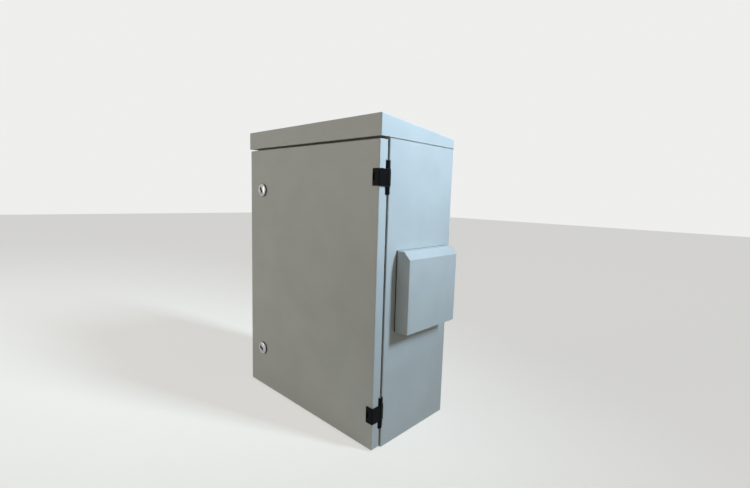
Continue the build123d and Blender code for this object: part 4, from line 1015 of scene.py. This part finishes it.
class BOX_OT_seals(Step, bpy.types.Operator):
    """Round the foam seal of the door and mould the cable grommets"""

    bl_idname = "box.seals"
    bl_label = "Seals"

    def execute(self, context):
        finish_node("door_gasket", 2.4 * MILLIMETRE, 4)
        placed = []
        master = self.grommet()
        for low, high in islands("cable_grommets"):
            middle = (low + high) / 2
            placed.append(copied(master, Matrix.Translation((middle.x, middle.y, 0))))
        removed(master)
        dressed(joined("grommets", placed), "black_rubber", body_of("cable_grommets"), "cable_grommets")
        return {"FINISHED"}

    def grommet(self):
        """Grommet with two lips, a waist in the gland plate and a mouth that flares at both ends."""
        outline = [(10.0, 1.2), (10.6, 0.5), (13.9, 0.3), (14.5, 0.7), (14.4, 1.45), (12.5, 1.5), (12.5, 3.5)]
        outline += [(14.4, 3.55), (14.5, 4.1), (14.1, 4.6), (12.9, 5.0), (12.6, 5.5), (12.0, 5.9)]
        outline += [(10.9, 5.9), (10.3, 5.6), (10.0, 5.0), (10.0, 1.2)]
        points = [(radius * MILLIMETRE, height * MILLIMETRE) for radius, height in outline]
        return smoothed(lathed("grommet", points, 56), 40)


class BOX_OT_fan(Step, bpy.types.Operator):
    """Finish the fan and bend its guard from round wire"""

    bl_idname = "box.fan"
    bl_label = "Fan and filter"

    def execute(self, context):
        edge = context.scene.box_edges.moulded
        finish_node("fan_frame", edge)
        finish_node("fan_rotor", 0.6 * edge)
        finish_node("filter_frame", edge)
        self.guard(context.scene.box_fittings)
        return {"FINISHED"}

    def guard(self, fittings):
        """Four rings welded on four radial wires, each ending in an eye under a screw."""
        low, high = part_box("fan_frame")
        wire = fittings.guard_wire
        rings = [self.ring(step * fittings.guard_ring, 2.55 * wire, wire) for step in (1, 2, 3, 4)]
        for turn in (45, 135, 225, 315):
            start = fittings.guard_ring
            end = fittings.guard_eye_distance - fittings.guard_eye
            spoke = lathed("spoke", [(0, start), (wire, start + wire / 2), (wire, end), (0, end)], 16)
            around = Matrix.Rotation(radians(turn), 4, "Z")
            spoke.data.transform(Matrix.Translation((0, 0, wire)) @ around @ Matrix.Rotation(pi / 2, 4, "Y"))
            rings.append(smoothed(spoke, 40))
            eye = self.ring(fittings.guard_eye, wire, wire)
            eye.data.transform(around @ Matrix.Translation((fittings.guard_eye_distance, 0, 0)))
            rings.append(eye)
        guard = joined("fan_guard_wires", rings)
        place = Vector((high.x, (low.y + high.y) / 2, (low.z + high.z) / 2))
        guard.data.transform(turned_to(place, (1, 0, 0)))
        dressed(guard, "zinc_steel", body_of("fan_guard"), "fan_guard")

    def ring(self, radius, height, wire):
        """Wire ring about Z, drawn as the circle of its section and spun."""
        section = arc((radius, height), wire, 0, 360, 12)
        return smoothed(lathed("ring", section, 56), 60)


class BOX_OT_switchgear(Step, bpy.types.Operator):
    """Finish the breakers, their toggles, the terminal blocks and the bars"""

    bl_idname = "box.switchgear"
    bl_label = "Switchgear"

    def execute(self, context):
        edges = context.scene.box_edges
        fittings = context.scene.box_fittings
        for index in (1, 2, 3, 4):
            self.branch(index, edges, fittings)
        self.main(edges, fittings)
        self.terminals(edges)
        for place in ("neutral", "earth"):
            self.bar(place, edges)
            finish_node(f"{place}_bar_feet", edges.moulded)
        self.clamp_screws()
        return {"FINISHED"}

    def welled(self, node, places, ease, radius, depth):
        """Eased copy of a case, with wells bored from places on its front."""
        return bored(eased(merged_copy(node, f"{node}_finished"), ease), places, FORWARD, radius, depth)

    def clamps(self, name, places, depth, radius):
        """Screws at one depth in the wells."""
        screws_added(name, [(x, y + depth, z) for x, y, z in places], radius)

    def branch(self, index, edges, fittings):
        """Two-pole breaker: a joint between its poles, four clamps and a toggle."""
        mm = MILLIMETRE
        node = f"branch_breaker_{index}_case"
        low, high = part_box(node)
        middle = (low + high) / 2
        shoulder_y = high.y - 49 * mm
        pole_x = 9 * mm
        clamp_z = 32.3 * mm
        steps = [(sx, sz) for sx in (-1, 1) for sz in (-1, 1)]
        places = [(middle.x + sx * pole_x, shoulder_y, middle.z + sz * clamp_z) for sx, sz in steps]
        case = self.welled(node, places, edges.moulded, fittings.well_radius, fittings.well_depth)
        half_width = 0.25 * mm
        depth = 0.5 * mm
        toggle_edge = 10.2 * mm
        for front_y, edge in ((low.y, 22.6 * mm), (shoulder_y, 43 * mm)):
            for sz in (-1, 1):
                start, end = sorted((middle.z + sz * toggle_edge, middle.z + sz * edge))
                corner = (middle.x - half_width, front_y - depth, start)
                cut(case, block("seam", corner, (middle.x + half_width, front_y + depth, end)))
        dressed(case, slot_of[node], "housing", node)
        self.clamps(f"branch_breaker_{index}_clamps", places, fittings.well_depth - mm, fittings.clamp_screw)
        finish_node(f"branch_breaker_{index}_toggle", 0.7 * edges.moulded)

    def main(self, edges, fittings):
        """Moulded-case breaker with six clamps."""
        mm = MILLIMETRE
        node = "main_breaker_case"
        low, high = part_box(node)
        middle = (low + high) / 2
        shoulder_y = high.y - 48 * mm
        pole_step = 25 * mm
        clamp_z = 55.9 * mm
        well_radius = 1.12 * fittings.well_radius
        clamp_radius = 1.13 * fittings.clamp_screw
        poles = [(pole, sz) for pole in (-1, 0, 1) for sz in (-1, 1)]
        places = [(middle.x + pole * pole_step, shoulder_y, middle.z + sz * clamp_z) for pole, sz in poles]
        case = self.welled(node, places, edges.moulded, well_radius, fittings.well_depth)
        dressed(case, slot_of[node], "housing", node)
        self.clamps("main_breaker_clamps", places, fittings.well_depth - mm, clamp_radius)
        finish_node("main_breaker_toggle", edges.moulded)

    def terminals(self, edges):
        """Row of terminal blocks with a screw in each well."""
        mm = MILLIMETRE
        node = "terminal_blocks"
        clamp_z = 6.9 * mm
        well_radius = 2.3 * mm
        well_depth = 11.6 * mm
        clamp_depth = 10 * mm
        clamp_radius = 1.1 * mm
        places = []
        for low, high in islands(node):
            middle = (low + high) / 2
            places += [(middle.x, low.y, middle.z + sz * clamp_z) for sz in (-1, 1)]
        blocks = self.welled(node, places, 0.6 * edges.moulded, well_radius, well_depth)
        dressed(blocks, slot_of[node], "housing", node)
        self.clamps("terminal_screws", places, clamp_depth, clamp_radius)

    def bar(self, place, edges):
        """Drawn bar with round wire holes."""
        mm = MILLIMETRE
        node = f"{place}_bar"
        low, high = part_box(node)
        middle = (low + high) / 2
        bore_y = low.y + 0.55 * (high.y - low.y)
        bore_radius = 2.55 * mm
        pitch = 13
        places = [(middle.x + step * pitch * mm, bore_y, high.z) for step in range(-3, 4)]
        bar = eased(merged_copy(node, f"{node}_finished"), edges.fastener)
        bored(bar, places, (0, 0, 1), bore_radius, high.z - low.z + mm)
        dressed(bar, slot_of[node], "housing", node)

    def clamp_screws(self):
        """Slotted grub screws of the bars."""
        screws = islands("bar_clamp_screws")
        low, high = screws[0]
        radius = (high.x - low.x) / 2
        length = high.y - low.y
        outline = [(0, -length), (radius, -length), (radius, -0.12 * radius), (0.88 * radius, 0), (0, 0)]
        master = lathed("grub_screw", outline, 28)
        slot = 0.16 * radius
        cut(master, block("slot", (-1.1 * radius, -slot, -0.5 * radius), (1.1 * radius, slot, radius)))
        smoothed(master, 30)
        placed = []
        for low, high in screws:
            middle = (low + high) / 2
            slot_angle = 17 + 41 * len(placed)
            turn = Matrix.Rotation(radians(slot_angle), 4, "Z")
            stand = Matrix.Translation((middle.x, low.y, middle.z)) @ FACING_FRONT
            placed.append(copied(master, stand @ turn))
        removed(master)
        dressed(joined("grub_screws", placed), "zinc_steel", "housing", "bar_clamp_screws")


class BOX_OT_plates(Step, bpy.types.Operator):
    """Ease the zinc-plated plates, rails, brackets, cams and bolts, and the hinge pins and the door's stiffener
    """

    bl_idname = "box.plates"
    bl_label = "Plates and rails"

    def execute(self, context):
        edge = context.scene.box_edges.fastener
        for node in ("mounting_plate", "gland_plate", "roof_bracket_left", "roof_bracket_right"):
            finish_node(node, edge)
        for node in ("din_rail_upper", "din_rail_lower"):
            finish_node(node, 0.6 * edge)
        cams = ("lock_upper_cam", "lock_lower_cam", "lock_upper_cam_bolt", "lock_lower_cam_bolt")
        for node in (*cams, "roof_bolts"):
            finish_node(node, edge, 3)
        for node in ("hinge_pins", "door_stiffener"):
            finish_node(node, edge)
        return {"FINISHED"}


# Lamps, with place, aim and size in metres and spread in degrees
WINDOW_LAMP = {
    "colour": (0.58, 0.785, 1.0), "place": (1.4, 0.45, 1.6), "aim": (0.2, 0, 0.84),
    "size": (0.25, 0.9), "spread": 48,
}
FRONT_LAMP = {
    "colour": (1.0, 0.92, 0.79), "place": (-1.6, -2.6, 0.7), "aim": (0, 0, 0.3),
    "size": (1.6, 1.6), "spread": 150,
}


class BOX_OT_stage(Step, bpy.types.Operator):
    """Set the floor, the backdrop, the lamps and the camera of the photograph"""

    bl_idname = "box.stage"
    bl_label = "Stage"

    def execute(self, context):
        stage = context.scene.box_stage
        self.floor(stage)
        self.room(context, stage)
        self.lamp("window_lamp", stage.window_power, **WINDOW_LAMP)
        self.lamp("front_lamp", stage.front_power, **FRONT_LAMP)
        self.camera(context, stage)
        context.scene.view_settings.view_transform = "Standard"
        return {"FINISHED"}

    def floor(self, stage):
        """Plain floor that is paler where it is seen than the light it sends on, and keeps its shadows."""
        bpy.ops.object.select_all(action="DESELECT")
        height = cad_bounds[0].z - MILLIMETRE / 2
        bpy.ops.mesh.primitive_plane_add(size=stage.floor_width, location=(0, 0, height))
        plane = bpy.context.object
        plane.name = "floor"
        finish = Finish("floor")
        matt = finish.node("ShaderNodeBsdfDiffuse", None, {"Color": (*stage.floor_colour, 1)})
        glow = finish.node("ShaderNodeEmission", None, {"Color": (*stage.floor_glow, 1), "Strength": 1.0})
        pale = finish.node("ShaderNodeAddShader", None, {0: matt, 1: glow})
        chosen = finish.node("ShaderNodeMixShader", None, {0: finish.seen(), 1: matt, 2: pale})
        finish.node("ShaderNodeOutputMaterial", None, {"Surface": chosen})
        plane.data.materials.append(finish.material)
        settled(plane)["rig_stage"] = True

    def room(self, context, stage):
        """Even light from all round, with a brighter background where the camera or a mirror looks."""
        world = bpy.data.worlds.new("room")
        context.scene.world = world
        room = Graph(world)
        tint = (*stage.room_colour, 1)
        light = room.node("ShaderNodeBackground", None, {"Color": tint, "Strength": stage.room_strength})
        backdrop = room.node("ShaderNodeBackground", None, {"Color": (*stage.backdrop_colour, 1)})
        chosen = room.node("ShaderNodeMixShader", None, {0: room.seen(), 1: light, 2: backdrop})
        room.node("ShaderNodeOutputWorld", None, {"Surface": chosen})

    def lamp(self, name, power, colour, place, aim, size, spread):
        data = bpy.data.lights.new(name, "AREA")
        data.shape = "RECTANGLE"
        data.size, data.size_y = size
        data.energy = power
        data.color = colour
        lamp = bpy.data.objects.new(name, data)
        bpy.context.collection.objects.link(lamp)
        lamp.location = place
        lamp.rotation_euler = (Vector(place) - Vector(aim)).to_track_quat("Z", "Y").to_euler()
        data.spread = radians(spread)
        lamp.visible_camera = False

    def camera(self, context, stage):
        data = bpy.data.cameras.new("camera")
        data.lens = stage.camera_lens
        data.clip_start = 10 * MILLIMETRE
        camera = bpy.data.objects.new("camera", data)
        context.collection.objects.link(camera)
        yaw, pitch, roll = stage.camera_turn
        turns = ((yaw, "Z"), (pi / 2 + pitch, "X"), (roll, "Z"))
        heading, tilt, lean = (Matrix.Rotation(angle, 4, axis) for angle, axis in turns)
        camera.matrix_world = Matrix.Translation(stage.camera_place) @ heading @ tilt @ lean
        context.scene.camera = camera


class BOX_PT_panel(bpy.types.Panel):
    """Steps and sizes of the box in the sidebar"""

    bl_idname = "BOX_PT_panel"
    bl_label = "Distribution Box"
    bl_space_type = "VIEW_3D"
    bl_region_type = "UI"
    bl_category = "Box"

    def draw(self, context):
        for step in STEPS:
            self.layout.operator(step.bl_idname)
        for group in PROPERTIES:
            settings = getattr(context.scene, group)
            for name in settings.bl_rna.properties.keys():
                if name not in ("rna_type", "name"):
                    self.layout.prop(settings, name)


PROPERTIES = {
    "box_colours": BoxColours,
    "box_surface": BoxSurface,
    "box_edges": BoxEdges,
    "box_locks": BoxLocks,
    "box_fittings": BoxFittings,
    "box_stage": BoxStage,
}
STEPS = (
    BOX_OT_finishes, BOX_OT_sheet_metal, BOX_OT_hinges, BOX_OT_locks, BOX_OT_fasteners, BOX_OT_seals,
    BOX_OT_fan, BOX_OT_switchgear, BOX_OT_plates, BOX_OT_stage,
)


def register():
    for group in PROPERTIES.values():
        bpy.utils.register_class(group)
    for step in STEPS:
        bpy.utils.register_class(step)
    bpy.utils.register_class(BOX_PT_panel)
    for name, group in PROPERTIES.items():
        setattr(bpy.types.Scene, name, PointerProperty(type=group))


def unregister():
    for name in PROPERTIES:
        delattr(bpy.types.Scene, name)
    bpy.utils.unregister_class(BOX_PT_panel)
    for step in reversed(STEPS):
        bpy.utils.unregister_class(step)
    for group in reversed(PROPERTIES.values()):
        bpy.utils.unregister_class(group)


def write_size():
    """Works out the box of the solids and of the dressed model."""
    boxes = {"cad": cad_bounds, "visual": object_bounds()}
    sizes = {name: [list(corner) for corner in box] for name, box in boxes.items()}


def main():
    register()
    for step in STEPS:
        group, name = step.bl_idname.split(".")
        getattr(getattr(bpy.ops, group), name)()
    write_size()


if __name__ == "__main__":
    main()
